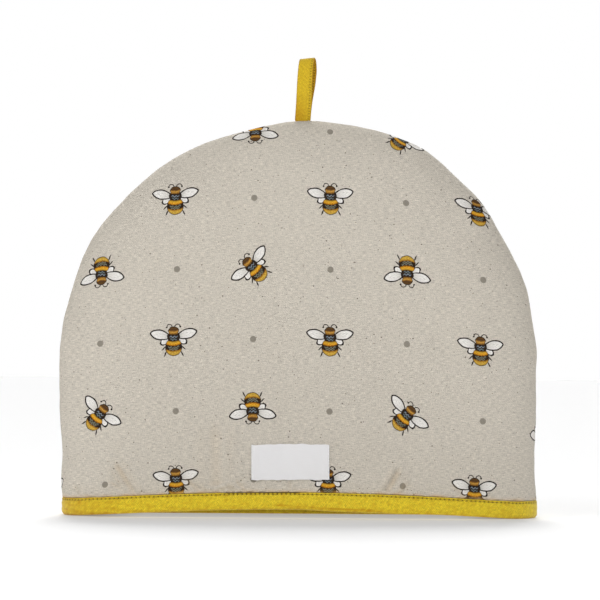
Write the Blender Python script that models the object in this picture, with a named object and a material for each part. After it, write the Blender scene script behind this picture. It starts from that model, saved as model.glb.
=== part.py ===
"""Padded tea cosy standing on its hem.

Two dome-shaped padded panels meet in a seam round their curved edge. A folded
binding closes the hem, a tape loop stands in the seam at the crown, and a
blank label is sewn to the front panel.

Metres, +Z up. The origin is on the table under the middle of the cosy. The
front panel looks along -Y, and +X is to the right of someone facing it.
"""
import math
from collections import namedtuple

import bmesh
import bpy
from mathutils import Vector
from mathutils.bvhtree import BVHTree

MM = 0.001
GAP = 0.3 * MM                 # air between pieces that touch
FRONT, BACK = -1, 1            # the sides, by the sign of their depth

# --- Driving sizes -----------------------------------------------------------
# Outer outline seen from the front: how far the cloth reaches to each side of
# the middle at each height. The left shoulder falls away flatter than the right.
OutlineRow = namedtuple("OutlineRow", "height left right")
OUTLINE_MM = tuple(OutlineRow(*row) for row in (
    (0.0, 168.8, 171.5),
    (14.0, 168.8, 171.3),
    (28.0, 169.1, 169.3),
    (45.0, 168.4, 168.9),
    (75.0, 170.4, 169.9),
    (105.0, 170.9, 169.9),
    (120.0, 170.3, 170.0),
    (140.0, 168.1, 166.9),
    (161.0, 162.4, 163.3),
    (183.0, 155.2, 154.7),
    (204.0, 143.9, 143.4),
    (226.0, 125.8, 129.1),
    (247.0, 102.5, 108.0),
    (257.0, 87.8, 97.1),
    (267.0, 66.8, 81.5),
    (278.0, 29.9, 47.2),
))
CROWN_MM = (3.5, 283.2)        # sideways place and height of the outline's top

HALF_DEPTH = 50.0 * MM         # middle of the hem to the outside of one panel
FOCUS = 60.0 * MM              # half of the flattest stretch of the hem
FULLNESS = 3.0                 # higher keeps the depth further towards the seam

# Padded wall: cloth, wadding and lining quilted together as one
OUTER_HALF = 5.0 * MM          # wall's middle to its outer face
INNER_HALF = 4.0 * MM          # wall's middle to its lining
PINCHED_HALF = 2.5 * MM        # both, where the binding grips the edge
PINCH_TOP = 13.0 * MM          # the wall is pinched up to here
PUFF_TOP = 24.0 * MM           # and full again from here
SEAM_DRAW = 1.6 * MM           # how far the seam pulls the outer face in
SEAM_ROLL = 4.0 * MM           # depth over which the cloth rolls into the seam

# Hem binding: folded strip round the raw edge
BINDING_HEIGHT = 12.5 * MM
BINDING_CLOTH = 1.3 * MM
BINDING_EASE = 0.45 * MM       # air between the binding and the edge it covers
BINDING_FLAT = 2.2 * MM        # half of the band that rests on the table
BINDING_ROUND = 3.0 * MM       # height at which the lower corners end
WALL_FOOT = BINDING_CLOTH + 2 * GAP

# Hem lift: the front arches off the table, while its ends and the back stay flat
LIFT_RISE = 6.2 * MM
LIFT_MIDDLE = -3.0 * MM        # sideways place of the arch's top
LIFT_REACH = 160.0 * MM        # from there to either end of the arch
LIFT_POWER = 1.15
LIFT_FADE = 140.0 * MM         # no lift from this height up

# Hanging loop: one tape folded over, both ends caught in the crown seam
TAPE_WIDTH = 11.3 * MM
TAPE_THICK = 1.2 * MM
LOOP_MIDDLE = 1.8 * MM         # sideways place of its foot
LOOP_TOP = 327.0 * MM
LOOP_GAP = 8.6 * MM            # widest opening between the legs
LOOP_LEAN = 0.056              # sideways shift for each metre of height
LOOP_TWIST = 1.6 * MM          # how far right the back leg sits at the fold
LOOP_TWIST_TOP = 0.6           # share of the height at which it has fully shifted
LOOP_TIP = 2.5 * MM            # height above the crown where the legs part
DROP_PEAK = math.sqrt(16.0 / 27.0)

# Label: a blank woven rectangle low on the front
LABEL_WIDTH = 55.0 * MM
LABEL_HEIGHT = 24.7 * MM
LABEL_THICK = 0.8 * MM
LABEL_LEFT = -32.8 * MM
LABEL_FOOT = 27.4 * MM
LABEL_TURN = 0.007             # slight turn in the front's plane, radians

# --- Mesh fineness -----------------------------------------------------------
# Steps along the outline, close together where the wall leaves the binding
HEM_STEPS_MM = (0.0, 11.4, 15.5, 21.0, 28.0, 40.0)
BODY_STEP = 16.0 * MM
# Rings from the hem's middle (0) out to the seam (1)
RING_SHARES = (0.0, 0.0405, 0.055, 0.074, 0.1, 0.14, 0.2, 0.28, 0.38, 0.48,
               0.58, 0.67, 0.76, 0.84, 0.905, 0.955, 0.985)
ROLL_DEPTHS_MM = (5.0, 2.6, 1.2, 0.0)
BINDING_CORNER_STEPS = 2
LOOP_SIDES = 28
TAPE_STEPS = 4
LABEL_CELLS = (12, 6)
CURVE_STEP = 1e-4              # for slopes along the outline

# --- Colours (display values, 0 to 255) --------------------------------------
CLOTH_COLOUR = (196, 190, 178)
YELLOW_COLOUR = (208, 184, 47)
LABEL_COLOUR = (224, 223, 224)


def smoothstep(low, high, value):
    """0 below low, 1 above high, and a smooth rise between."""
    share = min(1.0, max(0.0, (value - low) / (high - low)))
    return share * share * (3.0 - 2.0 * share)


# --- Outline -----------------------------------------------------------------
def outline_knots():
    """Outline points from the right hem corner over the crown to the left one."""
    right = [Vector((row.right, row.height)) for row in OUTLINE_MM]
    left = [Vector((-row.left, row.height)) for row in reversed(OUTLINE_MM)]
    return [knot * MM for knot in right + [Vector(CROWN_MM)] + left]


class SmoothCurve:
    """A smooth plane curve through its knots, upright at both ends."""

    def __init__(self, knots):
        self.knots = knots
        self.places = [0.0]
        for before, after in zip(knots, knots[1:]):
            self.places.append(self.places[-1] + (after - before).length)
        self.length = self.places[-1]
        self.slopes = [Vector((0.0, 1.0))]
        for index in range(1, len(knots) - 1):
            chord = knots[index + 1] - knots[index - 1]
            self.slopes.append(chord / (self.places[index + 1] - self.places[index - 1]))
        self.slopes.append(Vector((0.0, -1.0)))

    def point(self, share):
        """The point at a share, from 0 to 1, of the curve's length."""
        place = min(1.0, max(0.0, share)) * self.length
        index = 0
        while index < len(self.knots) - 2 and place > self.places[index + 1]:
            index += 1
        span = self.places[index + 1] - self.places[index]
        s = (place - self.places[index]) / span
        start, end = self.knots[index], self.knots[index + 1]
        leave, arrive = self.slopes[index] * span, self.slopes[index + 1] * span
        return (start * (2 * s**3 - 3 * s**2 + 1) + leave * (s**3 - 2 * s**2 + s)
                + end * (3 * s**2 - 2 * s**3) + arrive * (s**3 - s**2))

    def direction(self, share):
        """The unit direction of travel at a share of the curve's length."""
        low = max(0.0, share - CURVE_STEP)
        high = min(1.0, share + CURVE_STEP)
        return (self.point(high) - self.point(low)).normalized()


OUTLINE = SmoothCurve(outline_knots())


def wall_outline(share):
    """Outline of the wall's middle: the outer outline moved in by its half thickness."""
    forward = OUTLINE.direction(share)
    inward = Vector((-forward.y, forward.x))
    return OUTLINE.point(share) + inward * OUTER_HALF


# --- Padded wall -------------------------------------------------------------
MIDDLE_DEPTH = HALF_DEPTH - OUTER_HALF


def ring_of_depth(depth):
    """The ring on which the wall's middle is this deep."""
    return (1.0 - (depth / MIDDLE_DEPTH) ** 2) ** (1.0 / FULLNESS)


def middle_point(ring, share):
    """A point of the front wall's middle: ring 0 on the hem's middle, 1 at the seam."""
    edge = wall_outline(share)
    start = FOCUS * math.cos(math.pi * share)
    x = start * (1.0 - ring) + edge.x * ring
    z = WALL_FOOT + (max(edge.y, WALL_FOOT) - WALL_FOOT) * ring
    return Vector((x, -MIDDLE_DEPTH * math.sqrt(max(0.0, 1.0 - ring**FULLNESS)), z))


def middle_normal(ring, share):
    """The wall's outward direction, level where the binding grips the edge."""
    share = min(1.0 - 2 * CURVE_STEP, max(2 * CURVE_STEP, share))
    edge = wall_outline(share)
    start = FOCUS * math.cos(math.pi * share)
    step = wall_outline(share + CURVE_STEP) - wall_outline(share - CURVE_STEP)
    start_step = -2 * CURVE_STEP * math.pi * FOCUS * math.sin(math.pi * share)
    along = Vector((start_step * (1.0 - ring) + step.x * ring, 0.0, step.y * ring))
    # Slope towards the seam, times the depth's share, which keeps it finite there
    level = math.sqrt(max(0.0, 1.0 - ring**FULLNESS))
    towards_seam = Vector((level * (edge.x - start),
                           0.5 * FULLNESS * MIDDLE_DEPTH * ring ** (FULLNESS - 1.0),
                           level * max(GAP, edge.y - WALL_FOOT)))
    normal = towards_seam.cross(along).normalized()
    normal.z *= smoothstep(PINCH_TOP, PUFF_TOP, middle_point(ring, share).z)
    return normal.normalized()


def face_offsets(ring, height):
    """Distances from the wall's middle to its outer face and to its lining."""
    full = smoothstep(PINCH_TOP, PUFF_TOP, height)
    depth = MIDDLE_DEPTH * math.sqrt(max(0.0, 1.0 - ring**FULLNESS))
    roll = max(0.0, 1.0 - (depth / SEAM_ROLL) ** 2) ** 2
    outer = PINCHED_HALF + (OUTER_HALF - PINCHED_HALF - SEAM_DRAW * roll) * full
    inner = PINCHED_HALF + (INNER_HALF - PINCHED_HALF) * full
    return outer, inner


def settle(point, side):
    """Lift a point of the front as its hem arches off the table."""
    if side == BACK:
        return point
    spread = (point.x - LIFT_MIDDLE) / LIFT_REACH
    bump = max(0.0, 1.0 - spread**2) ** LIFT_POWER
    fade = 1.0 - smoothstep(0.0, LIFT_FADE, point.z)
    return Vector((point.x, point.y, point.z + LIFT_RISE * bump * fade))


def outline_shares():
    """Shares of the outline's length at which the panels have their columns."""
    ends = [step * MM / OUTLINE.length for step in HEM_STEPS_MM]
    body = 1.0 - 2 * ends[-1]
    count = round(body * OUTLINE.length / BODY_STEP)
    middle = [ends[-1] + body * index / count for index in range(1, count)]
    return ends + middle + [1.0 - end for end in reversed(ends)]


def ring_shares():
    """Rings of the panels, the last ones close together where the cloth rolls in."""
    return list(RING_SHARES) + [ring_of_depth(depth * MM) for depth in ROLL_DEPTHS_MM]


def wall_pair(ring, share, side):
    """The points of the outer face and of the lining, on the front or the back."""
    middle = middle_point(ring, share)
    normal = middle_normal(ring, share)
    outer, inner = face_offsets(ring, middle.z)
    pair = []
    for offset in (outer, -inner):
        point = middle + normal * offset
        depth = max(GAP / 2, -point.y)
        pair.append(settle(Vector((point.x, side * depth, point.z)), side))
    return pair


# --- Mesh helpers ------------------------------------------------------------
def display_colour(values):
    """Linear colour of a display colour given as 0 to 255."""
    linear = []
    for value in values:
        part = value / 255.0
        linear.append(part / 12.92 if part <= 0.04045 else ((part + 0.055) / 1.055) ** 2.4)
    return (*linear, 1.0)


def cloth_material(name, colour, roughness):
    material = bpy.data.materials.new(name)
    material.use_nodes = True
    shader = material.node_tree.nodes["Principled BSDF"]
    shader.inputs["Base Color"].default_value = display_colour(colour)
    shader.inputs["Roughness"].default_value = roughness
    shader.inputs["Metallic"].default_value = 0.0
    return material


def add_object(name, mesh_builder, material, crease=math.radians(50)):
    """Make one smooth-shaded object from a bmesh whose faces are then turned outwards."""
    bmesh.ops.recalc_face_normals(mesh_builder, faces=mesh_builder.faces)
    mesh = bpy.data.meshes.new(name)
    mesh_builder.to_mesh(mesh)
    mesh_builder.free()
    mesh.materials.append(material)
    mesh.shade_smooth()
    mesh.set_sharp_from_angle(angle=crease)
    thing = bpy.data.objects.new(name, mesh)
    bpy.context.scene.collection.objects.link(thing)
    return thing


def add_grid(builder, rows):
    """Vertices and quads of a grid of points, given row by row."""
    vertices = [[builder.verts.new(point) for point in row] for row in rows]
    for low, high in zip(vertices, vertices[1:]):
        for index in range(len(low) - 1):
            builder.faces.new((low[index], low[index + 1], high[index + 1], high[index]))
    return vertices


def rim_of(vertices):
    """The grid's border as one loop of vertices."""
    bottom = vertices[0]
    top = vertices[-1][::-1]
    right = [row[-1] for row in vertices[1:-1]]
    left = [row[0] for row in vertices[-2:0:-1]]
    return bottom + right + top + left


def join_rims(builder, first, second):
    """Close the space between two equal grids along their borders."""
    pairs = list(zip(rim_of(first), rim_of(second)))
    for (a, b), (c, d) in zip(pairs, pairs[1:] + pairs[:1]):
        builder.faces.new((a, c, d, b))


def add_tube(builder, sections):
    """A closed ring of closed sections, each a list of points."""
    loops = [[builder.verts.new(point) for point in section] for section in sections]
    for near, far in zip(loops, loops[1:] + loops[:1]):
        for index in range(len(near)):
            after = (index + 1) % len(near)
            builder.faces.new((near[index], near[after], far[after], far[index]))


# --- Sub-parts ---------------------------------------------------------------
def make_panel(name, side, material):
    """One padded dome panel: outer face, lining, seam face and hem edge."""
    pairs = [[wall_pair(ring, share, side) for share in outline_shares()]
             for ring in ring_shares()]
    builder = bmesh.new()
    outer = add_grid(builder, [[pair[0] for pair in row] for row in pairs])
    lining = add_grid(builder, [[pair[1] for pair in row] for row in pairs])
    join_rims(builder, outer, lining)
    return add_object(name, builder, material)


def hem_stations(side):
    """Rings and shares along one side's hem, from the right corner to the left."""
    rings = ring_shares()
    down = [(ring, 0.0) for ring in reversed(rings)]
    across = [(0.0, share) for share in outline_shares()[1:-1]]
    up = [(ring, 1.0) for ring in rings]
    return [(ring, share, side) for ring, share in down + across + up]


def binding_profile():
    """The binding's section: distance from the wall's middle, and height."""
    slot = PINCHED_HALF + BINDING_EASE
    face = slot + BINDING_CLOTH
    outer = [(face, BINDING_HEIGHT)]
    for step in range(BINDING_CORNER_STEPS + 1):
        angle = 0.5 * math.pi * step / BINDING_CORNER_STEPS
        outer.append((BINDING_FLAT + (face - BINDING_FLAT) * math.cos(angle),
                      BINDING_ROUND * (1.0 - math.sin(angle))))
    inner = [(-offset, height) for offset, height in reversed(outer)]
    channel = [(-slot, BINDING_HEIGHT), (-slot, BINDING_CLOTH),
               (slot, BINDING_CLOTH), (slot, BINDING_HEIGHT)]
    return outer + inner + channel


def make_binding(name, material):
    """The folded strip that runs once round the hem."""
    sections = []
    for ring, share, side in hem_stations(FRONT) + hem_stations(BACK)[-2:0:-1]:
        middle = middle_point(ring, share)
        normal = middle_normal(ring, share)
        section = []
        for offset, height in binding_profile():
            x = middle.x + normal.x * offset
            y = -side * (middle.y + normal.y * offset)
            section.append(settle(Vector((x, y, height)), side))
        sections.append(section)
    builder = bmesh.new()
    add_tube(builder, sections)
    return add_object(name, builder, material)


def groove_height(x):
    """Height of the crown seam's groove at a sideways place near the crown."""
    seam = [wall_pair(1.0, share, FRONT)[0] for share in outline_shares()]
    for right, left in zip(seam, seam[1:]):
        if left.x <= x <= right.x and right.z > LIFT_FADE:
            share = (x - left.x) / (right.x - left.x)
            return left.z + (right.z - left.z) * share
    raise ValueError("no seam at that place")


def loop_profile():
    """Points round the loop, outside and inside, as depth and height.

    The inside is a drop whose legs part at its foot: its depth follows
    sin(angle) * sin(angle / 2), whose greatest value is DROP_PEAK.
    """
    hole_foot = CROWN_MM[1] * MM + LOOP_TIP
    half = (LOOP_TOP - TAPE_THICK - hole_foot) / 2
    width = LOOP_GAP / 2 / DROP_PEAK
    inside = []
    for index in range(LOOP_SIDES):
        angle = 2 * math.pi * index / LOOP_SIDES
        depth = width * math.sin(angle) * math.sin(angle / 2)
        inside.append(Vector((depth, hole_foot + half * (1.0 - math.cos(angle)))))
    outside = []
    for index, point in enumerate(inside):
        along = inside[(index + 1) % LOOP_SIDES] - inside[index - 1]
        outward = Vector((along.y, -along.x)).normalized()
        outside.append(point + outward * TAPE_THICK)
    return outside, inside


def tape_point(depth, height, share):
    """A point of the tape; share runs from its left edge (0) to its right (1)."""
    crown = CROWN_MM[1] * MM
    up = max(0.0, height - crown)
    risen = min(1.0, up / (LOOP_TOP - crown) / LOOP_TWIST_TOP)
    behind = max(0.0, depth / (LOOP_GAP / 2 + TAPE_THICK))
    x = LOOP_MIDDLE + LOOP_LEAN * up + LOOP_TWIST * behind * risen
    return Vector((x + (share - 0.5) * TAPE_WIDTH, depth, height))


def make_loop(name, material):
    """The folded tape: a closed band whose joined ends stand in the crown seam."""
    outside, inside = loop_profile()
    foot_depths = {LOOP_SIDES - 1: -TAPE_THICK, 0: 0.0, 1: TAPE_THICK}
    builder = bmesh.new()
    slices = []
    for step in range(TAPE_STEPS + 1):
        share = step / TAPE_STEPS
        outer = [tape_point(point.x, point.y, share) for point in outside]
        for index, depth in foot_depths.items():
            x = LOOP_MIDDLE + (share - 0.5) * TAPE_WIDTH
            outer[index] = Vector((x, depth, groove_height(x) + 2 * GAP))
        inner = [tape_point(point.x, point.y, share) for point in inside]
        slices.append([[builder.verts.new(point) for point in loop] for loop in (outer, inner)])
    for index in range(LOOP_SIDES):
        after = (index + 1) % LOOP_SIDES
        for near, far in zip(slices, slices[1:]):
            for face in range(2):
                builder.faces.new((near[face][index], near[face][after],
                                   far[face][after], far[face][index]))
        for outer, inner in (slices[0], slices[-1]):
            builder.faces.new((outer[index], outer[after], inner[after], inner[index]))
    return add_object(name, builder, material)


def make_label(name, panel, material):
    """A thin blank rectangle that follows the front panel."""
    panel_shape = bmesh.new()
    panel_shape.from_mesh(panel.data)
    surface = BVHTree.FromBMesh(panel_shape)
    panel_shape.free()
    columns, rows = LABEL_CELLS
    centre = Vector((LABEL_LEFT + LABEL_WIDTH / 2, LABEL_FOOT + LABEL_HEIGHT / 2))
    faces = ([], [])
    for row in range(rows + 1):
        for face in faces:
            face.append([])
        for column in range(columns + 1):
            right = (column / columns - 0.5) * LABEL_WIDTH
            up = (row / rows - 0.5) * LABEL_HEIGHT
            x = centre.x + right - up * LABEL_TURN
            z = centre.y + up + right * LABEL_TURN
            hit = surface.ray_cast(Vector((x, -2 * HALF_DEPTH, z)), Vector((0.0, 1.0, 0.0)))[0]
            faces[0][-1].append(Vector((x, hit.y - GAP, z)))
            faces[1][-1].append(Vector((x, hit.y - GAP - LABEL_THICK, z)))
    builder = bmesh.new()
    back = add_grid(builder, faces[0])
    front = add_grid(builder, faces[1])
    join_rims(builder, back, front)
    return add_object(name, builder, material)


def main():
    for thing in list(bpy.data.objects):
        bpy.data.objects.remove(thing, do_unlink=True)
    front_cloth = cloth_material("printed_cloth_front", CLOTH_COLOUR, 0.9)
    back_cloth = cloth_material("printed_cloth_back", CLOTH_COLOUR, 0.9)
    binding_cloth = cloth_material("yellow_binding", YELLOW_COLOUR, 0.85)
    loop_cloth = cloth_material("yellow_tape", YELLOW_COLOUR, 0.85)
    label_cloth = cloth_material("white_label", LABEL_COLOUR, 0.75)
    front = make_panel("front_panel", FRONT, front_cloth)
    make_panel("back_panel", BACK, back_cloth)
    make_binding("hem_binding", binding_cloth)
    make_loop("hanging_loop", loop_cloth)
    make_label("sewn_label", front, label_cloth)


main()
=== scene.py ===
"""Looks of the padded tea cosy: cloth, print, binding, loop, label, light and camera.

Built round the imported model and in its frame: metres, +Z up, the front looking
along -Y. Distances in the print and in the materials are in millimetres.
"""

import math
from collections import namedtuple
from functools import partialmethod

import bmesh
import bpy
import numpy as np
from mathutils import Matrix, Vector
from mathutils.bvhtree import BVHTree


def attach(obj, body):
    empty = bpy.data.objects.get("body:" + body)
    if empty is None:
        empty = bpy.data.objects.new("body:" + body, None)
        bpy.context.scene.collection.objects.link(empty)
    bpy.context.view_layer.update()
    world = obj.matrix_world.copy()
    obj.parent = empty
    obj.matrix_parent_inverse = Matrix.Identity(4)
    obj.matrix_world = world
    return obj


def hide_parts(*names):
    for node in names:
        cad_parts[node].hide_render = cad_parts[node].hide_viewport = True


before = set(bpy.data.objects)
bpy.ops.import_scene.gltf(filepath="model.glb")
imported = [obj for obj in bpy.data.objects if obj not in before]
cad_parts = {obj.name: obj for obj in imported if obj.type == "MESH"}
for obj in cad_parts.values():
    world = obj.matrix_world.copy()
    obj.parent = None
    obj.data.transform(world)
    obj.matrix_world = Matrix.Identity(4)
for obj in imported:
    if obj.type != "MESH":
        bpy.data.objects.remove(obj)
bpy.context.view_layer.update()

MM = 0.001
GAP = 0.3 * MM  # air between pieces that touch
FRONT, BACK = -1, 1

# --- Sizes that repeat the model's own ---
OutlineRow = namedtuple("OutlineRow", "height left right")
OUTLINE_MM = tuple(OutlineRow(*row) for row in (
    (0.0, 168.8, 171.5), (14.0, 168.8, 171.3), (28.0, 169.1, 169.3), (45.0, 168.4, 168.9),
    (75.0, 170.4, 169.9), (105.0, 170.9, 169.9), (120.0, 170.3, 170.0), (140.0, 168.1, 166.9),
    (161.0, 162.4, 163.3), (183.0, 155.2, 154.7), (204.0, 143.9, 143.4), (226.0, 125.8, 129.1),
    (247.0, 102.5, 108.0), (257.0, 87.8, 97.1), (267.0, 66.8, 81.5), (278.0, 29.9, 47.2),
))
CROWN_MM = (3.5, 283.2)  # sideways place and height of the outline's top
CROWN_HEIGHT = CROWN_MM[1] * MM
HALF_DEPTH = 50.0 * MM  # middle of the hem to the outside of one panel
FOCUS = 60.0 * MM  # half of the flattest stretch of the hem
FULLNESS = 3.0  # higher keeps the depth further towards the seam
OUTER_HALF = 5.0 * MM  # wall's middle to its outer face
INNER_HALF = 4.0 * MM  # wall's middle to its lining
PINCHED_HALF = 2.5 * MM  # both, where the binding grips the edge
PINCH_TOP = 12.45 * MM  # the wall is pinched up to here
STEP_TOP = 12.85 * MM  # it swells over the binding's fold up to here
STEP_SHARE = 0.72  # share of the swelling that the step holds
PUFF_TOP = 22.0 * MM  # and it is full again from here
SEAM_DRAW = 1.6 * MM  # how far the seam pulls the outer face in
SEAM_ROLL = 4.0 * MM  # depth over which the cloth rolls into the seam
BINDING_HEIGHT = 12.5 * MM
BINDING_CLOTH = 1.3 * MM
BINDING_SLOT = PINCHED_HALF + 0.45 * MM  # inside of the binding, with air round the edge
BINDING_FLAT = 2.2 * MM  # half of the band that rests on the table
BINDING_ROUND = 3.0 * MM  # height at which the lower corners end
WALL_FOOT = BINDING_CLOTH + 2 * GAP
MIDDLE_DEPTH = HALF_DEPTH - OUTER_HALF
LIFT_RISE = 6.2 * MM  # the front's hem arches, and the back lies flat
LIFT_MIDDLE = -3.0 * MM  # sideways place of the arch's top
LIFT_REACH = 160.0 * MM  # from there to either end of the arch
LIFT_POWER = 1.15
LIFT_FADE = 140.0 * MM  # no lift from this height up
TAPE_WIDTH = 11.3 * MM
TAPE_THICK = 1.2 * MM
LOOP_MIDDLE = 1.8 * MM  # sideways place of its foot
LOOP_TOP = 327.0 * MM
LOOP_GAP = 8.6 * MM  # widest opening between the legs
LOOP_LEAN = 0.066  # sideways shift for each metre of height
LOOP_TWIST = 1.7 * MM  # how far right the back leg sits at the fold
LOOP_TIP = 2.5 * MM  # height above the crown where the legs part
DROP_PEAK = math.sqrt(16.0 / 27.0)  # greatest value of sin(a) sin(a/2)
LABEL_WIDTH = 55.0 * MM
LABEL_HEIGHT = 24.7 * MM
LABEL_LEFT = -32.8 * MM
LABEL_FOOT = 27.4 * MM
LABEL_TURN = 0.007  # slight turn in the front's plane, radians
CURVE_STEP = 1e-4  # for slopes along the outline

# --- The cloth's own unevenness ---
NOISE_PEAK = 1.6  # standard deviations that soft noise counts as 1
# Slow bulges of the wadding: height and rough distance between them
BULGES_MM = ((0.42, 47.0), (0.16, 19.0))
BULGE_RELEASE = 26.0 * MM  # depth from the seam at which they reach their full height
BULGE_AT_SEAM = 0.25  # share of it that they keep at the seam
SEAM_PUCKER = 0.16 * MM
SEAM_PUCKER_STEP = 9.0  # mm along the seam
SEAM_PUCKER_DEPTH = 9.0 * MM  # they fade over this depth from the seam
HEM_GATHER = 0.32 * MM
HEM_GATHER_STEP = 8.0  # mm along the hem
HEM_GATHER_FADE = 7.0 * MM  # they fade over this height above the binding
LINING_SLACK = 0.4 * MM
LINING_SLACK_STEP = 30.0  # mm
RELIEF_RISE = 5.0 * MM  # all of it grows over this height above the binding
# Creases pressed into the front by the binding, as troughs in its own plane.
# A trough with a negative depth is a ridge.
Crease = namedtuple("Crease", "x1 z1 x2 z2 width depth")
CREASE_STRENGTH = 2.0
CREASE_BROW, CREASE_BROW_PLACE = 0.35, 2.0  # share by which both sides rise, and widths to there
CREASE_END = 2.0  # widths over which a crease runs out
CREASES_MM = tuple(Crease(*row) for row in (
    (-126.7, 34.0, -115.7, 17.0, 2.2, 1.0), (-130.2, 23.0, -121.7, 18.0, 1.8, 0.6),
    (-157.2, 19.0, -154.7, 14.5, 1.6, 0.5), (-76.7, 25.0, -66.7, 16.5, 2.0, 0.8),
    (-58.2, 56.0, -57.7, 21.0, 4.6, 0.5), (-60.2, 20.0, -50.7, 22.0, 1.8, -0.8),
    (-49.7, 21.0, -44.7, 16.0, 1.5, 0.6), (-41.7, 24.5, -35.2, 17.5, 1.7, 0.6),
    (-5.7, 25.0, -5.2, 17.0, 1.4, 0.4), (69.8, 31.0, 61.8, 17.0, 2.2, 1.0),
    (75.8, 25.0, 70.3, 17.0, 1.8, -0.6), (111.3, 22.0, 116.3, 17.0, 1.7, 0.5),
))

# --- Unevenness of the materials: features for each mm both ways, seed, detail, weight ---
Noise = namedtuple("Noise", "across up seed detail weight")
YARN_TONES = (Noise(0.27, 2.1, 1.0, 0.0, 0.6), Noise(2.1, 0.4, 5.0, 0.0, 0.38),
              Noise(2.0, 2.0, 9.0, 0.0, 0.62), Noise(0.05, 0.05, 13.0, 1.0, 0.04))
CLOTH_RELIEF = (Noise(0.35, 2.0, 31.0, 1.0, 0.6), Noise(2.0, 0.4, 35.0, 1.0, 0.4))
LINING_RELIEF = (Noise(0.3, 1.3, 31.0, 1.0, 0.8),)
YELLOW_SPECKS = (Noise(0.8, 0.8, 17.0, 2.0, 0.36),)
YELLOW_RELIEF = (Noise(0.8, 0.8, 31.0, 1.0, 0.8),)
RIBBON_TONES = (Noise(0.25, 2.2, 3.0, 1.0, 0.02), Noise(0.06, 0.06, 8.0, 1.0, 0.015))
CLOTH_DEPTH, YELLOW_DEPTH = 0.08 * MM, 0.09 * MM
THREAD_DEPTH, RIBBON_DEPTH = 0.02 * MM, 0.03 * MM

# --- Colours (display values, 0 to 255) ---
CLOTH_COLOUR = (196, 189, 177)
# painted orange shade above the binding and in the front's creases
PAINTED_SHADE_COLOUR = (204, 164, 100)
LINING_COLOUR = (226, 219, 201)
YELLOW_COLOUR = (220, 195, 47)
OCHRE_COLOUR = (190, 142, 22)
# painted shade in the needle holes and under the binding's scalloped top edge; it also darkens the
# tape's narrow sides
HOLE_COLOUR = (64, 42, 8)
YELLOW_THREAD = (206, 178, 44)
WHITE_THREAD = (240, 240, 240)
LABEL_COLOUR = (228, 227, 228)


# --- Small sums ---
def smoothstep(low, high, value):
    """0 below low, 1 above high, and a smooth rise between."""
    share = np.clip((value - low) / (high - low), 0.0, 1.0)
    return share * share * (3.0 - 2.0 * share)


def between(value, low, high, end, gone):
    """1 from high to end, rising smoothly from low and falling to gone."""
    return smoothstep(low, high, value) * (1.0 - smoothstep(end, gone, value))


def bell(value):
    """1 at 0, and less on both sides."""
    return np.exp(-(value**2))


def unit(vectors):
    return vectors / np.linalg.norm(vectors, axis=-1, keepdims=True)


def stacked(*parts):
    """Points from their coordinates."""
    return np.stack(np.broadcast_arrays(*parts), axis=-1)


def added_up(steps):
    return np.concatenate(([0.0], np.cumsum(steps)))


def travelled(points):
    """Distances from the first point along a line of points."""
    return added_up(np.linalg.norm(np.diff(points, axis=0), axis=1))


def spread(values, steps, count):
    """This many of the values, evenly spaced by the steps that lie between them."""
    way = added_up(steps)
    return np.interp(np.linspace(0.0, way[-1], count), way, values)


def soft_noise(x, z, size, seed, waves=9):
    """Smooth unevenness of about -1 to 1, with bulges roughly this far apart."""
    draw = np.random.default_rng(seed)
    total = np.zeros_like(x + z)
    for _ in range(waves):
        angle = draw.uniform(0.0, math.tau)
        phase = draw.uniform(0.0, math.tau)
        length = size * draw.uniform(0.7, 1.5)
        total += np.sin(math.tau / length * (x * math.cos(angle) + z * math.sin(angle)) + phase)
    return total * math.sqrt(2.0 / waves) / NOISE_PEAK


# --- Shape of the walls, as in the model but for whole arrays ---
class SmoothCurve:
    """A smooth plane curve through its knots, upright at both ends."""

    def __init__(self, knots):
        self.knots = knots
        self.places = travelled(knots)
        self.length = self.places[-1]
        chords = (knots[2:] - knots[:-2]) / (self.places[2:] - self.places[:-2])[:, None]
        self.slopes = np.vstack(([[0.0, 1.0]], chords, [[0.0, -1.0]]))

    def point(self, share):
        """Points at shares, from 0 to 1, of the curve's length."""
        place = np.clip(share, 0.0, 1.0) * self.length
        index = np.clip(np.searchsorted(self.places, place) - 1, 0, len(self.knots) - 2)
        span = (self.places[index + 1] - self.places[index])[..., None]
        s = (place - self.places[index])[..., None] / span
        leave, arrive = self.slopes[index] * span, self.slopes[index + 1] * span
        return (self.knots[index] * (2 * s**3 - 3 * s**2 + 1) + leave * (s**3 - 2 * s**2 + s)
                + self.knots[index + 1] * (3 * s**2 - 2 * s**3) + arrive * (s**3 - s**2))

    def direction(self, share):
        """Unit directions of travel at shares of the curve's length."""
        return unit(self.point(share + CURVE_STEP) - self.point(share - CURVE_STEP))


# From the right hem corner over the crown to the left one
OUTLINE = SmoothCurve(MM * np.array(
    [(row.right, row.height) for row in OUTLINE_MM] + [CROWN_MM]
    + [(-row.left, row.height) for row in reversed(OUTLINE_MM)]))


def wall_outline(share):
    """Outline of the wall's middle: the outer outline moved in by its half thickness."""
    forward = OUTLINE.direction(share)
    return OUTLINE.point(share) + stacked(-forward[..., 1], forward[..., 0]) * OUTER_HALF


def ring_level(ring):
    """Share of the full depth that a ring keeps."""
    return np.sqrt(np.maximum(0.0, 1.0 - ring**FULLNESS))


def middle_point(ring, share):
    """Points of the front wall's middle: ring 0 on the hem's middle, 1 at the seam."""
    edge = wall_outline(share)
    x = FOCUS * np.cos(np.pi * share) * (1.0 - ring) + edge[..., 0] * ring
    z = WALL_FOOT + (np.maximum(edge[..., 1], WALL_FOOT) - WALL_FOOT) * ring
    return stacked(x, -MIDDLE_DEPTH * ring_level(ring), z)


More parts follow.
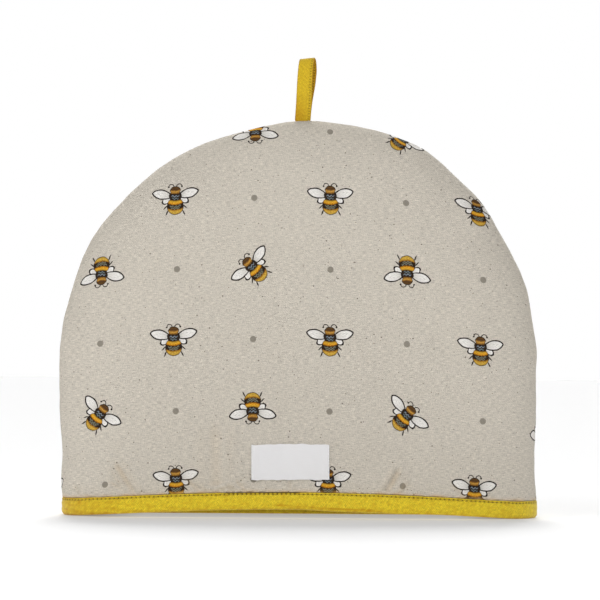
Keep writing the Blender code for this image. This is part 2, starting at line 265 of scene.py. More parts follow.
def middle_normal(ring, share):
    """The wall's outward direction, level where the binding grips the edge."""
    height = middle_point(ring, share)[..., 2]
    share = np.clip(share, 2 * CURVE_STEP, 1.0 - 2 * CURVE_STEP)
    edge = wall_outline(share)
    start = FOCUS * np.cos(np.pi * share)
    step = wall_outline(share + CURVE_STEP) - wall_outline(share - CURVE_STEP)
    start_step = -2 * CURVE_STEP * math.pi * FOCUS * np.sin(np.pi * share)
    along = stacked(start_step * (1.0 - ring) + step[..., 0] * ring, 0.0, step[..., 1] * ring)
    level = ring_level(ring)
    towards_seam = stacked(level * (edge[..., 0] - start),
                           0.5 * FULLNESS * MIDDLE_DEPTH * ring ** (FULLNESS - 1.0),
                           level * np.maximum(GAP, edge[..., 1] - WALL_FOOT))
    normal = unit(np.cross(towards_seam, along))
    normal[..., 2] *= smoothstep(PINCH_TOP, PUFF_TOP, height)
    return unit(normal)


def face_offsets(ring, height):
    """Distances from the wall's middle to its outer face and to its lining."""
    full = STEP_SHARE * smoothstep(PINCH_TOP, STEP_TOP, height)
    full = full + (1.0 - STEP_SHARE) * smoothstep(STEP_TOP, PUFF_TOP, height)
    from_seam = MIDDLE_DEPTH * ring_level(ring) / SEAM_ROLL
    roll = np.maximum(0.0, 1.0 - from_seam**2) ** 2
    outer = PINCHED_HALF + (OUTER_HALF - PINCHED_HALF - SEAM_DRAW * roll) * full
    inner = PINCHED_HALF + (INNER_HALF - PINCHED_HALF) * full
    return outer, inner


def settle(points, side):
    """Lift the front's points as its hem arches off the table."""
    if side == BACK:
        return points
    spread_out = (points[..., 0] - LIFT_MIDDLE) / LIFT_REACH
    bump = np.maximum(0.0, 1.0 - spread_out**2) ** LIFT_POWER
    raised = points.copy()
    raised[..., 2] += LIFT_RISE * bump * (1.0 - smoothstep(0.0, LIFT_FADE, points[..., 2]))
    return raised


def to_side(points, side):
    """Front points on one side, clear of the plane between the sides, and settled."""
    placed = points.copy()
    placed[..., 1] = side * np.maximum(GAP / 2, -points[..., 1])
    return settle(placed, side)


# --- Relief of the outer cloth ---
def crease_depth(x, z):
    """How deep the front's creases are at places in its plane, all in mm."""
    depth = np.zeros_like(x)
    for crease in CREASES_MM:
        start = np.array((crease.x1, crease.z1))
        run = np.array((crease.x2, crease.z2)) - start
        length = np.linalg.norm(run)
        forward = run / length
        along = (x - start[0]) * forward[0] + (z - start[1]) * forward[1]
        across = ((z - start[1]) * forward[0] - (x - start[0]) * forward[1]) / crease.width
        beyond = along - np.clip(along, 0.0, length)
        section = bell(across) - CREASE_BROW * bell(np.abs(across) - CREASE_BROW_PLACE)
        depth += crease.depth * section * bell(beyond / (CREASE_END * crease.width))
    return depth


def outer_relief(points, along, height, side):
    """How far the outer cloth stands out from its smooth shape.

    along is the distance round the outline in mm, and height the place above the
    foot of the wall before the hem is lifted.
    """
    x, z = points[..., 0] / MM, points[..., 2] / MM
    depth = np.abs(points[..., 1])
    seed = 40 + side
    relief = np.zeros_like(x)
    for number, (rise, size) in enumerate(BULGES_MM):
        relief += rise * MM * soft_noise(x, z, size, seed + 10 * number)
    relief *= BULGE_AT_SEAM + (1.0 - BULGE_AT_SEAM) * smoothstep(0.0, BULGE_RELEASE, depth)
    puckers = soft_noise(along, 0.0 * along, SEAM_PUCKER_STEP, seed + 3)
    relief += SEAM_PUCKER * bell(depth / SEAM_PUCKER_DEPTH) * puckers
    gathers = soft_noise(x, depth / MM, HEM_GATHER_STEP, seed + 4)
    relief += HEM_GATHER * bell((height - BINDING_HEIGHT) / HEM_GATHER_FADE) * gathers
    if side == FRONT:
        relief -= MM * CREASE_STRENGTH * crease_depth(x, z)
    return relief * smoothstep(BINDING_HEIGHT, BINDING_HEIGHT + RELIEF_RISE, height)


# --- Meshes ---
def numbered(rows, columns, first=0):
    """A grid's vertex numbers."""
    return first + np.arange(rows * columns).reshape(rows, columns)


def quads(numbers):
    """Faces between neighbouring rows and columns of vertex numbers."""
    corners = (numbers[:-1, :-1], numbers[:-1, 1:], numbers[1:, 1:], numbers[1:, :-1])
    return np.stack([corner.ravel() for corner in corners], axis=1)


def rim(numbers):
    """A grid's border as one loop of vertices, with each one's place along it."""
    rows, columns = numbers.shape
    across, up = np.linspace(0.0, 1.0, columns), np.linspace(0.0, 1.0, rows)
    loop = np.concatenate((numbers[0, :-1], numbers[:-1, -1], numbers[-1, :0:-1], numbers[:0:-1, 0]))
    places = np.concatenate((across[:-1], 1 + up[:-1], 3 - across[:0:-1], 4 - up[:0:-1], [4.0]))
    return loop, places


def zip_rims(first, second):
    """Triangles between the borders of two grids that lie face to face."""
    (loop_a, places_a), (loop_b, places_b) = rim(first), rim(second)
    faces = []
    a = b = 0
    while a < len(loop_a) or b < len(loop_b):
        here_a, here_b = loop_a[a % len(loop_a)], loop_b[b % len(loop_b)]
        if b == len(loop_b) or (a < len(loop_a) and places_a[a + 1] <= places_b[b + 1]):
            a += 1
            faces.append((here_b, here_a, loop_a[a % len(loop_a)]))
        else:
            b += 1
            faces.append((here_b, here_a, loop_b[b % len(loop_b)]))
    return np.array(faces)


def show(name, data):
    """A new object in the scene."""
    thing = bpy.data.objects.new(name, data)
    bpy.context.scene.collection.objects.link(thing)
    return thing


def make_mesh(name, points, face_groups, materials, maps=None, values=None, crease_degrees=50.0):
    """One smooth-shaded object.

    face_groups holds (faces, material number) pairs, maps the UV maps as corner
    coordinates in the order of those faces, and values the numbers kept at points.
    """
    faces = [face for group, _ in face_groups for face in group.tolist()]
    mesh = bpy.data.meshes.new(name)
    mesh.from_pydata(points.reshape(-1, 3).tolist(), [], faces)
    for material in materials:
        mesh.materials.append(material)
    numbers = np.concatenate([np.full(len(group), number) for group, number in face_groups])
    mesh.polygons.foreach_set("material_index", numbers.astype(np.int32))
    for map_name, corners in (maps or {}).items():
        layer = mesh.uv_layers.new(name=map_name)
        layer.data.foreach_set("uv", corners.astype(np.float32).ravel())
    for value_name, numbers in (values or {}).items():
        attribute = mesh.attributes.new(value_name, "FLOAT", "POINT")
        attribute.data.foreach_set("value", numbers.astype(np.float32).ravel())
    builder = bmesh.new()
    builder.from_mesh(mesh)
    bmesh.ops.recalc_face_normals(builder, faces=builder.faces)
    builder.to_mesh(mesh)
    builder.free()
    mesh.shade_smooth()
    mesh.set_sharp_from_angle(angle=math.radians(crease_degrees))
    return show(name, mesh)


def corner_map(coordinates, face_groups):
    """Point coordinates given to each corner of each face."""
    flat = coordinates.reshape(-1, 2)
    return np.concatenate([flat[group].reshape(-1, 2) for group, _ in face_groups])


def make_band(name, points, cloth, material, values):
    """A band that closes on itself, of closed sections, with its places in the flat cloth."""
    groups = [(quads(np.pad(numbered(*points.shape[:2]), (0, 1), mode="wrap")), 0)]
    maps = {"cloth": corner_map(cloth, groups)}
    return make_mesh(name, points, groups, [material], maps, values, crease_degrees=70.0)


# --- Node graphs ---
def linear(colour):
    """Linear colour of a display colour given as 0 to 255."""
    parts = [value / 255.0 for value in colour]
    return (*[part / 12.92 if part <= 0.04045 else ((part + 0.055) / 1.055) ** 2.4
              for part in parts], 1.0)


class Value:
    """A number in a material's node graph, on which arithmetic adds Math nodes."""

    def __init__(self, graph, socket):
        self.graph = graph
        self.socket = socket

    def math(self, operation, *others, clamp=False):
        return self.graph.math(operation, self, *others, clamp=clamp)

    __add__ = partialmethod(math, "ADD")
    __sub__ = partialmethod(math, "SUBTRACT")
    __mul__ = partialmethod(math, "MULTIPLY")
    __truediv__ = partialmethod(math, "DIVIDE")
    size = partialmethod(math, "ABSOLUTE")
    clamped = partialmethod(math, "ADD", 0.0, clamp=True)

    def __rsub__(self, other):
        return self.graph.math("SUBTRACT", other, self)

    def wave(self, length):
        """A sine wave of this length along the value."""
        return (self * (math.tau / length)).math("SINE")


class Nodes:
    """A node tree to which nodes are added and linked."""

    def __init__(self, tree):
        self.tree = tree

    def feed(self, socket, value):
        if isinstance(value, Value):
            value = value.socket
        if isinstance(value, bpy.types.NodeSocket):
            self.tree.links.new(value, socket)
        else:
            socket.default_value = value

    def add(self, kind, inputs=(), **settings):
        """A new ShaderNode of this kind, with pairs of a socket's name or number and its value."""
        node = self.tree.nodes.new("ShaderNode" + kind)
        for name, value in settings.items():
            setattr(node, name, value)
        for name, value in inputs:
            self.feed(node.inputs[name], value)
        return node

    def math(self, operation, *values, clamp=False):
        node = self.add("Math", enumerate(values), operation=operation, use_clamp=clamp)
        return Value(self, node.outputs[0])

    def parts(self, vector):
        """The three parts of a vector."""
        node = self.add("SeparateXYZ", [(0, vector)])
        return [Value(self, output) for output in node.outputs]

    def rise(self, value, low, high):
        """0 below low, 1 above high, and a smooth rise between; falls where low is higher."""
        start, end = (0.0, 1.0) if low < high else (1.0, 0.0)
        node = self.add("MapRange", [
            (0, value), (1, min(low, high)), (2, max(low, high)), (3, start), (4, end)],
            interpolation_type="SMOOTHSTEP")
        return Value(self, node.outputs[0])


class Graph(Nodes):
    """The node graph of one new material round its Principled shader."""

    def __init__(self, name, roughness, sheen=0.0, specular=0.3):
        self.material = bpy.data.materials.new(name)
        self.material.use_nodes = True
        super().__init__(self.material.node_tree)
        self.shader = self.tree.nodes["Principled BSDF"]
        settings = {"Roughness": roughness, "Specular IOR Level": specular,
                    "Sheen Weight": sheen, "Sheen Roughness": 0.5}
        for setting, value in settings.items():
            self.shader.inputs[setting].default_value = value

    def place(self, map_name="cloth"):
        """The two coordinates of a UV map, in mm."""
        return self.parts(self.add("UVMap", uv_map=map_name).outputs[0])[:2]

    def kept(self, name):
        """A number kept at the mesh's points."""
        return self.add("Attribute", attribute_name=name).outputs["Fac"]

    def point(self, x, y, z=0.0):
        return self.add("CombineXYZ", [(0, x), (1, y), (2, z)]).outputs[0]

    def noise(self, x, y, seed, detail):
        """Soft noise of about -1 to 1, with features one unit across."""
        node = self.add("TexNoise", [
            ("Vector", self.point(x, y, seed)), ("Scale", 1.0), ("Detail", detail)])
        return (Value(self, node.outputs["Fac"]) - 0.5) * 2.0

    def noises(self, u, v, table):
        """The weighted sum of a table's noises."""
        total = 0.0
        for row in table:
            layer = self.noise(u * row.across, v * row.up, row.seed, row.detail)
            total = layer * row.weight + total
        return total

    def spot(self, x, y, seed, radius):
        """1 inside scattered round spots, one in each unit cell, of this radius."""
        node = self.add("TexVoronoi", [
            ("Vector", self.point(x, y, seed)), ("Scale", 1.0), ("Randomness", 1.0)])
        distance = Value(self, node.outputs["Distance"])
        return ((radius - distance) * (2.0 / radius)).clamped()

    def mix(self, factor, first, second, blend="MIX"):
        node = self.add("Mix", [(0, factor), (6, first), (7, second)],
                        data_type="RGBA", blend_type=blend)
        return node.outputs[2]

    def lay(self, colour, mask, tone):
        """The colour with another one, given as 0 to 255, where the mask is 1."""
        return self.mix(mask, colour, linear(tone))

    def tint(self, colour, tone):
        """The colour times a tone near 1."""
        return self.mix(1.0, colour, self.point(tone, tone, tone), blend="MULTIPLY")

    def finish(self, colour, height, depth):
        """Wire the colour and a relief of this depth in metres; give the material."""
        self.feed(self.shader.inputs["Base Color"], colour)
        bump = self.add("Bump", [("Height", height), ("Strength", 1.0), ("Distance", depth)])
        self.feed(self.shader.inputs["Normal"], bump.outputs[0])
        return self.material


def weave(u, v, pitch):
    """Height of a plain weave: each yarn rises over one and dips under the next."""
    return u.wave(2.0 * pitch) * v.wave(2.0 * pitch) * 0.5


# --- Printed cloth ---
# Places in one bee, in mm from its middle: out to the side, and up to the head
INK = (34, 27, 24)
WING_WHITE = (230, 227, 222)
WING_SHADE = (188, 184, 176)
WING_POINT = 1.25  # 2 makes a wing an oval, and less points its tip
WING_OPACITY, SHADE_OPACITY, VEIN_OPACITY = 0.94, 0.6, 0.22
WING_LINE, VEIN_LINE = 0.85, 0.3  # widths
INK_EDGE, LEG_EDGE, WING_EDGE = 0.3, 0.2, 0.22  # how softly ink ends
# Ovals of the bee: middle, radii, degrees turned and swelling outwards
Wing = namedtuple("Wing", "middle radii degrees swell")
WINGS = (Wing((6.3, -0.5), (3.3, 2.1), -34.0, 0.0), Wing((9.2, 4.0), (7.4, 3.3), 14.0, 0.2))
LEGS = (((6.9, -5.5), (2.1, 0.45), -42.0), ((6.0, -9.7), (2.1, 0.45), -65.0))
BODY_PARTS = (((0.0, -4.9), (6.0, 6.4)), ((0.0, 2.4), (4.6, 4.2)), ((0.0, 6.7), (3.9, 2.9)))
ANTENNA = ((2.9, 9.4), (1.9, 1.8))
ANTENNA_LINE = 0.6
ANTENNA_FOOT = 9.3
ANTENNA_TIP = ((4.8, 9.3), (0.68, 0.68))
DOT_GREY = (132, 126, 115)
DOT_RADIUS = 2.25
DOT_SHIFT = 60.0  # dot cells are moved sideways by this in the motif map
BARE_SHIFT = 200.0  # and bare faces lie here
# Flecks in the cloth: mm between them, seed, radius in cells, strength and colour
FLECKS = (
    (3.4, 2.0, 0.12, 0.5, (146, 130, 104)),
    (4.8, 7.0, 0.11, 0.85, (104, 92, 76)),
    (9.0, 17.0, 0.075, 0.95, (72, 60, 48)),
)
BODY_LOW, BODY_HIGH = -12.0, 10.5
Stripe = namedtuple("Stripe", "place red green blue")
BODY_STRIPES = tuple(Stripe(*row) for row in (
    (-11.2, 120, 84, 36), (-10.4, 184, 152, 68), (-8.9, 208, 166, 66), (-7.9, 160, 110, 40),
    (-7.3, 38, 28, 22), (-5.1, 44, 36, 30), (-4.4, 30, 24, 20), (-3.9, 140, 90, 28),
    (-3.2, 214, 148, 38), (-1.9, 220, 168, 52), (-1.2, 150, 110, 38), (-0.7, 34, 28, 24),
    (1.9, 40, 34, 32), (3.3, 30, 26, 26), (3.9, 60, 44, 28), (4.6, 160, 112, 44),
    (5.6, 196, 148, 66), (6.3, 132, 90, 42), (7.0, 76, 54, 34), (8.6, 92, 66, 38),
    (9.5, 40, 30, 24),
))
HATCH_BROWN = (84, 60, 24)
STRIPE_CURVE = 0.045  # the stripes bend by this times mm squared
FUR_OUTLINE, FUR_STRIPES = 0.06, 0.6  # how far the fur ruffles both
HATCH_OPACITY, RIM_OPACITY, SQUIGGLE_OPACITY = 0.6, 0.75, 0.8
DOT_OPACITY = 0.93
WING_VEINS = (Noise(0.7, 1.5, 33.0, 1.0, 0.35),)
BODY_FUR = (Noise(1.6, 1.6, 21.0, 2.0, 1.0),)
BODY_HATCH = (Noise(1.3, 1.7, 27.0, 1.0, 4.0),)
INK_DRIFT = (Noise(0.45, 0.45, 3.0, 1.0, 0.4),)
# Light squiggles on the dark bands: place along the body, half width and colour
SQUIGGLES = (
    (-6.7, 3.4, (132, 130, 112)),
    (-5.3, 4.2, (126, 128, 112)),
    (0.4, 2.6, (112, 126, 128)),
    (2.2, 3.0, (138, 150, 160)),
)


def oval(graph, place, middle, radii, degrees=0.0, swell=0.0):
    """Distance from an oval's middle: 1 on its rim, pointed and fuller outwards if swollen."""
    mapping = graph.add("Mapping", [
        ("Vector", graph.point(*place)), ("Location", (*middle, 0.0)),
        ("Rotation", (0.0, 0.0, math.radians(degrees))), ("Scale", (*radii, 1.0))],
        vector_type="TEXTURE")
    if not swell:
        length = graph.add("VectorMath", [(0, mapping.outputs[0])], operation="LENGTH")
        return Value(graph, length.outputs["Value"])
    along, across, _ = graph.parts(mapping.outputs[0])
    across = (across / (along * swell + 1.0)).size().math("POWER", WING_POINT)
    return (along * along + across).math("SQRT")


def inside(distance, radius, soft=INK_EDGE):
    """1 inside the rim and 0 outside, over a soft edge given in mm."""
    return ((1.0 - distance) * (radius / soft) + 0.5).clamped()


def stroke(distance, radius, width, soft=INK_EDGE):
    """1 on a line of this width along the rim."""
    off = (distance - 1.0).size() * (radius / soft)
    return ((width / 2.0 / soft + 0.5) - off).clamped()


def draw_wing(graph, colour, place, wing):
    """A white wing with an ink outline and one vein, drawn over the colour."""
    side, up = place
    (out, high), (long, wide) = wing.middle, wing.radii
    distance = oval(graph, place, *wing)
    radius = math.sqrt(long * wide)
    filled = inside(distance, radius)
    veins = graph.noises(side, up, WING_VEINS) + 0.97
    colour = graph.mix(filled * WING_OPACITY, colour, graph.tint(linear(WING_WHITE), veins))
    vein = oval(graph, place, (out * 0.86, high * 0.86 + 0.4), (long * 0.62, wide * 0.3),
                wing.degrees, wing.swell)
    colour = graph.lay(colour, stroke(vein, radius * 0.4, VEIN_LINE) * VEIN_OPACITY, INK)
    shaded = ((out - side) * 0.22 + 0.1).clamped() * filled
    colour = graph.lay(colour, shaded * SHADE_OPACITY, WING_SHADE)
    return graph.lay(colour, stroke(distance, radius, WING_LINE, WING_EDGE), INK)


def draw_antennae(graph, colour, place):
    curl = stroke(oval(graph, place, *ANTENNA), sum(ANTENNA[1]) / 2, ANTENNA_LINE)
    colour = graph.lay(colour, curl * ((place[1] - ANTENNA_FOOT) * 4.0).clamped(), INK)
    tip = inside(oval(graph, place, *ANTENNA_TIP), ANTENNA_TIP[1][0], LEG_EDGE)
    return graph.lay(colour, tip, INK)


def draw_body(graph, colour, p, place):
    """Head, thorax and abdomen in one furry outline with curved stripes."""
    side, up = place
    fur = graph.noises(p, up, BODY_FUR)
    mask = core = 0.0
    for middle, radii in BODY_PARTS:
        distance = oval(graph, place, middle, radii) + fur * FUR_OUTLINE
        mask = inside(distance, radii[0], 0.35).math("MAXIMUM", mask)
        core = inside(distance + 0.5 / radii[0], radii[0], 0.5).math("MAXIMUM", core)
    curved = up - p * p * STRIPE_CURVE + fur * FUR_STRIPES
    ramp = graph.add("ValToRGB", [(0, (curved - BODY_LOW) / (BODY_HIGH - BODY_LOW))])
    stops = ramp.color_ramp.elements
    for number, stripe in enumerate(BODY_STRIPES):
        stop = stops[number] if number < 2 else stops.new(1.0)
        stop.position = (stripe.place - BODY_LOW) / (BODY_HIGH - BODY_LOW)
        stop.color = linear(stripe[1:])
    furry = graph.tint(ramp.outputs[0], fur * 0.5 + 0.97)
    hatch = (graph.noises(p, up, BODY_HATCH) - 0.4).clamped()
    furry = graph.lay(furry, hatch * HATCH_OPACITY, HATCH_BROWN)
    furry = graph.lay(furry, (1.0 - core) * RIM_OPACITY, INK)
    colour = graph.mix(mask, colour, furry)
    ripple = (p * 2.6 + fur * 1.2).math("SINE") * 0.45
    for along, width, tone in SQUIGGLES:
        off = (curved - along - ripple).size()
        line = ((0.6 - off) * 2.2).clamped() * ((width - side) * 1.5).clamped()
        colour = graph.lay(colour, line * SQUIGGLE_OPACITY, tone)
    return colour


def draw_print(graph, colour):
    """The repeat's bees and dots over the cloth's colour."""
    p, q = graph.place("motif")
    dot = oval(graph, (p, q), (DOT_SHIFT, 0.0), (DOT_RADIUS, DOT_RADIUS))
    colour = graph.lay(colour, inside(dot, DOT_RADIUS, 0.5) * DOT_OPACITY, DOT_GREY)
    drift = graph.noises(p, q, INK_DRIFT)
    p = p + drift
    place = (p.size(), q - drift * 0.7)
    for middle, radii, degrees in LEGS:
        distance = oval(graph, place, middle, radii, degrees)
        colour = graph.lay(colour, inside(distance, radii[1], LEG_EDGE), INK)
    for wing in WINGS:
        colour = draw_wing(graph, colour, place, wing)
    colour = draw_antennae(graph, colour, place)
    return draw_body(graph, colour, p, place)


def cloth_tone(graph, u, v, strength):
    """Uneven yarns both ways, and slow patches, as a tone near 1."""
    return graph.noises(u, v, YARN_TONES) * strength + 1.0


def printed_cloth():
    """Greige cotton and linen cloth with slubs and flecks, printed with bees and dots."""
    graph = Graph("printed_cloth_fine", roughness=0.95, specular=0.1)
    u, v = graph.place()
    colour = graph.tint(linear(CLOTH_COLOUR), cloth_tone(graph, u, v, 0.5))
    for cell, seed, radius, strength, tone in FLECKS:
        fleck = graph.spot(u / cell, v / (cell * 0.8), seed, radius)
        colour = graph.lay(colour, fleck * strength, tone)
    # painted orange shade above the binding and in the creases, laid over the print
    colour = graph.lay(draw_print(graph, colour), graph.kept("painted_shade"), PAINTED_SHADE_COLOUR)
    height = weave(u, v, 0.9) + graph.noises(u, v, CLOTH_RELIEF)
    return graph.finish(colour, height, CLOTH_DEPTH)


def lining_cloth():
    """Plain cream cotton."""
    graph = Graph("cream_lining", roughness=0.92, sheen=0.2, specular=0.15)
    u, v = graph.place()
    colour = graph.tint(linear(LINING_COLOUR), cloth_tone(graph, u, v, 0.06))
    height = weave(u, v, 0.8) + graph.noises(u, v, LINING_RELIEF)
    return graph.finish(colour, height, CLOTH_DEPTH)


# --- Padded panels ---
PANEL_RINGS, PANEL_COLUMNS = 164, 430
LINING_RINGS, LINING_COLUMNS = 54, 140
FIRST_COLUMN = 3.0 * MM  # the hem's own column is followed by this one
FINE_STEPS = 4001  # from which the rings and columns are chosen
HEM_REACH = 35.0 * MM  # rings are closer together below about this height
HEM_CROWDING, FOLD_CROWDING = 0.8, 8.0  # how much closer there, and at the binding's fold
LATTICE_LEFT = -32.2  # sideways place of the motif column numbered 0, mm
LATTICE_HEIGHT = 276.9  # height of the row numbered 0; rows count downwards
COLUMN_STEP = 54.3
ROW_STEP = 50.1
ROW_ARCH = 0.000285  # the rows droop towards the sides by this times mm squared
ROW_ARCH_MIDDLE = -25.0
HEM_DRAW = 0.031  # share by which the hem draws the print to the middle
HEM_DRAW_FADE = (22.0, 60.0)  # full below the first height in mm, none above the second
HEM_TUCK = 1.4  # and how far it lifts the print, mm, about one place
HEM_TUCK_PLACE = (-45.0, 35.0)  # that place's middle and half width
SHOULDER_DRAW = 0.03  # share by which the right shoulder draws the print in
SHOULDER_FADE = (195.0, 260.0)  # none below the first height in mm, full above the second
LEFT_LEANING, RIGHT_LEANING = 45.0, -40.0  # degrees, of the slanting bees in turn
BEE_OFF_RIGHT = (-0.9, -1.9)  # mm off the lattice, of right-leaning and every other upright bee
BEE_OFF_UP = (-1.4, 1.4)  # and of right-leaning and upside-down ones
BEE_TILT = 1.0  # degrees, of every bee
BACK_PRINT_SHIFT = (21.0, -16.0)
ROLL_SLACK = 16.0  # mm of cloth that turns the edge before the print follows
# Painted orange shade just above the binding and in the front's creases
PAINTED_SHADE_REACH = 1.5 * MM
PAINTED_SHADE_PATCH = 9.0  # mm between its stronger and weaker parts
PAINTED_SHADE_BESIDE, PAINTED_SHADE_CREASE, PAINTED_SHADE_MOST = 0.62, 0.16, 0.7


def closer(distance):
    """How much closer the grid's lines stand at this distance from the hem."""
    return FOLD_CROWDING * bell((distance - PINCH_TOP) / MM)


def ring_shares(count):
    """Rings evenly spaced over the middle column, closer together near the hem."""
    ring = 1.0 - np.linspace(1.0, 0.0, FINE_STEPS) ** 2
    middle = middle_point(ring, np.full_like(ring, 0.5))
    height = middle[1:, 2]
    steps = np.diff(travelled(middle))
    crowding = HEM_CROWDING * bell(height / HEM_REACH) + closer(height)
    return spread(ring, steps * (1.0 + crowding), count)


def column_shares(count):
    """Columns along the outline, closer together where the wall leaves the binding."""
    first = FIRST_COLUMN / OUTLINE.length
    share = np.linspace(first, 1.0 - first, FINE_STEPS)
    from_hem = np.minimum(share, 1.0 - share)[1:] * OUTLINE.length
    return np.concatenate(([0.0], spread(share, 1.0 + closer(from_hem), count - 2), [1.0]))


def wall_grid(rings, columns):
    """Middle points, outward directions, rings and shares of a grid over one wall."""
    ring, share = np.meshgrid(ring_shares(rings), column_shares(columns), indexing="ij")
    return middle_point(ring, share), middle_normal(ring, share), ring, share


def outer_face(side):
    """The outer cloth's points on one side, with its relief, and their unlifted heights."""
    middle, normal, ring, share = wall_grid(PANEL_RINGS, PANEL_COLUMNS)
    height = middle[..., 2]
    offset = face_offsets(ring, height)[0]
    smooth = to_side(middle + normal * offset[..., None], side)
    offset = offset + outer_relief(smooth, share * OUTLINE.length / MM, height, side)
    return to_side(middle + normal * offset[..., None], side), height


def lining_face(side):
    """The lining's points on one side, softly uneven."""
    middle, normal, ring, _ = wall_grid(LINING_RINGS, LINING_COLUMNS)
    height = middle[..., 2]
    slack = soft_noise(middle[..., 0] / MM, height / MM, LINING_SLACK_STEP, 70 + side)
    slack = LINING_SLACK * slack * smoothstep(BINDING_HEIGHT, PUFF_TOP, height)
    offset = face_offsets(ring, height)[1] + slack
    return to_side(middle - normal * offset[..., None], side)


def cloth_map(points, side):
    """Places in the flat cloth, in mm: as seen from the front, and past the edge rolled out."""
    x = points[..., 0] / MM * -side
    z = points[..., 2] / MM
    steps = np.linalg.norm(np.diff(points, axis=0), axis=-1) / MM
    seen = np.hypot(np.diff(x, axis=0), np.diff(z, axis=0))
    excess = np.vstack((np.zeros((1, x.shape[1])), np.cumsum(steps - seen, axis=0)))
    rolled = excess**2 / (np.abs(excess) + ROLL_SLACK)
    away = unit(stacked(x - x[:1], z - z[:1] + 1e-6))
    return stacked(x, z) + away * rolled[..., None]


def motif_map(cloth, faces, side):
    """Each face corner's place in its own motif of the repeat."""
    corners = cloth.reshape(-1, 2)[faces]
    if side == BACK:
        corners = corners + np.array(BACK_PRINT_SHIFT)
    u, v = corners[..., 0], corners[..., 1]
    near_hem = 1.0 - smoothstep(*HEM_DRAW_FADE, v)
    tuck = HEM_TUCK * bell((u - HEM_TUCK_PLACE[0]) / HEM_TUCK_PLACE[1])
    drawn = HEM_DRAW * u * near_hem
    drawn = drawn + SHOULDER_DRAW * np.maximum(0.0, u) * smoothstep(*SHOULDER_FADE, v)
    v = v + ROW_ARCH * (u - ROW_ARCH_MIDDLE) ** 2 - tuck * near_hem
    u = u + drawn
    column = np.round((u.mean(axis=1, keepdims=True) - LATTICE_LEFT) / COLUMN_STEP)
    row = np.round((LATTICE_HEIGHT - v.mean(axis=1, keepdims=True)) / ROW_STEP)
    right = u - (LATTICE_LEFT + column * COLUMN_STEP)
    up = v - (LATTICE_HEIGHT - row * ROW_STEP)
    pair, line = column // 2, row // 2
    tilted = np.where(line % 2 == 0, RIGHT_LEANING, LEFT_LEANING)
    degrees = np.where(row % 2 == 1, 0.0, np.where((pair + line) % 2 == 0, 180.0, tilted))
    leaning = degrees == RIGHT_LEANING
    off_right = np.select([leaning, (degrees == 0.0) & (pair % 2 == 1)], BEE_OFF_RIGHT)
    off_up = np.select([leaning, degrees == 180.0], BEE_OFF_UP)
    angle = np.radians(degrees + BEE_TILT)
    p = np.cos(angle) * (right - off_right) + np.sin(angle) * (up - off_up)
    q = np.cos(angle) * (up - off_up) - np.sin(angle) * (right - off_right)
    is_dot = (column + row) % 2 == 1
    return stacked(np.where(is_dot, right + DOT_SHIFT, p), np.where(is_dot, up, q))


def painted_shade(outer, height, side):
    """How strongly painted orange shade darkens the cloth just above the binding and in the front's
    creases.
    """
    x, z = outer[..., 0] / MM, outer[..., 2] / MM
    uneven = 0.6 + 0.4 * soft_noise(x, z, PAINTED_SHADE_PATCH, 81 + side)
    beside = bell(np.maximum(0.0, height - BINDING_HEIGHT) / PAINTED_SHADE_REACH)
    tinted = PAINTED_SHADE_BESIDE * beside * uneven
    if side == FRONT:
        tinted = tinted + PAINTED_SHADE_CREASE * np.abs(crease_depth(x, z))
    return np.clip(tinted, 0.0, PAINTED_SHADE_MOST)


def make_panel(name, side, printed, lining):
    """One padded dome panel: printed outer cloth, lining, and the seam and hem edges."""
    (outer, height), inner = outer_face(side), lining_face(side)
    outer_numbers = numbered(*outer.shape[:2])
    inner_numbers = numbered(*inner.shape[:2], first=outer_numbers.size)
    outer_faces, inner_faces = quads(outer_numbers), quads(inner_numbers)
    edge_faces = zip_rims(outer_numbers, inner_numbers)
    groups = [(outer_faces, 0), (edge_faces, 0), (inner_faces, 1)]
    cloth = cloth_map(outer, side)
    flat = np.vstack((cloth.reshape(-1, 2), inner[..., ::2].reshape(-1, 2) / MM))
    motif = motif_map(cloth, outer_faces, side).reshape(-1, 2)
    bare = np.full((edge_faces.size + inner_faces.size, 2), BARE_SHIFT)
    maps = {"cloth": corner_map(flat, groups), "motif": np.vstack((motif, bare))}
    # painted shade above the binding and in the creases, none on the lining
    tint = np.concatenate((painted_shade(outer, height, side).ravel(), np.zeros(inner_numbers.size)))
    points = np.vstack((outer.reshape(-1, 3), inner.reshape(-1, 3)))
    return make_mesh(name, points, groups, [printed, lining], maps, {"painted_shade": tint})


# --- Thread and yellow cloth ---
THREAD_SIDES = 6
THREAD_RADIUS = 0.21 * MM
THREAD_TWIST = 0.25 * MM  # length along the thread of one of its ridges
BIAS = 0.7071  # sine and cosine of 45 degrees
TWILL_PITCH, TWILL_SLANT, TWILL_TONE = 1.5, 0.8, 0.07


def thread(spine):
    """Rings of points round one short thread, pointed at both ends."""
    along = unit(np.gradient(spine, axis=0))
    level = unit(np.cross(along, np.array((0.0, 0.3, 1.0))))
    upright = np.cross(level, along)
    radius = THREAD_RADIUS * np.sqrt(1.0 - 0.85 * np.linspace(-1.0, 1.0, len(spine)) ** 6)
    turn = (math.tau * np.arange(THREAD_SIDES) / THREAD_SIDES)[None, :, None]
    round_it = level[:, None] * np.cos(turn) + upright[:, None] * np.sin(turn)
    return spine[:, None] + round_it * radius[:, None, None]


def make_threads(name, spines, material):
    """All the visible threads of one seam as one object."""
    points = np.array([thread(spine) for spine in spines])
    numbers = np.arange(points[..., 0].size).reshape(points.shape[:3])
    closed = np.pad(numbers, ((0, 0), (0, 0), (0, 1)), mode="wrap")
    sides = np.concatenate([quads(grid) for grid in closed])
    caps = np.concatenate((numbers[:, 0, ::-1], numbers[:, -1]))
    return make_mesh(name, points, [(sides, 0), (caps, 0)], [material], crease_degrees=180.0)


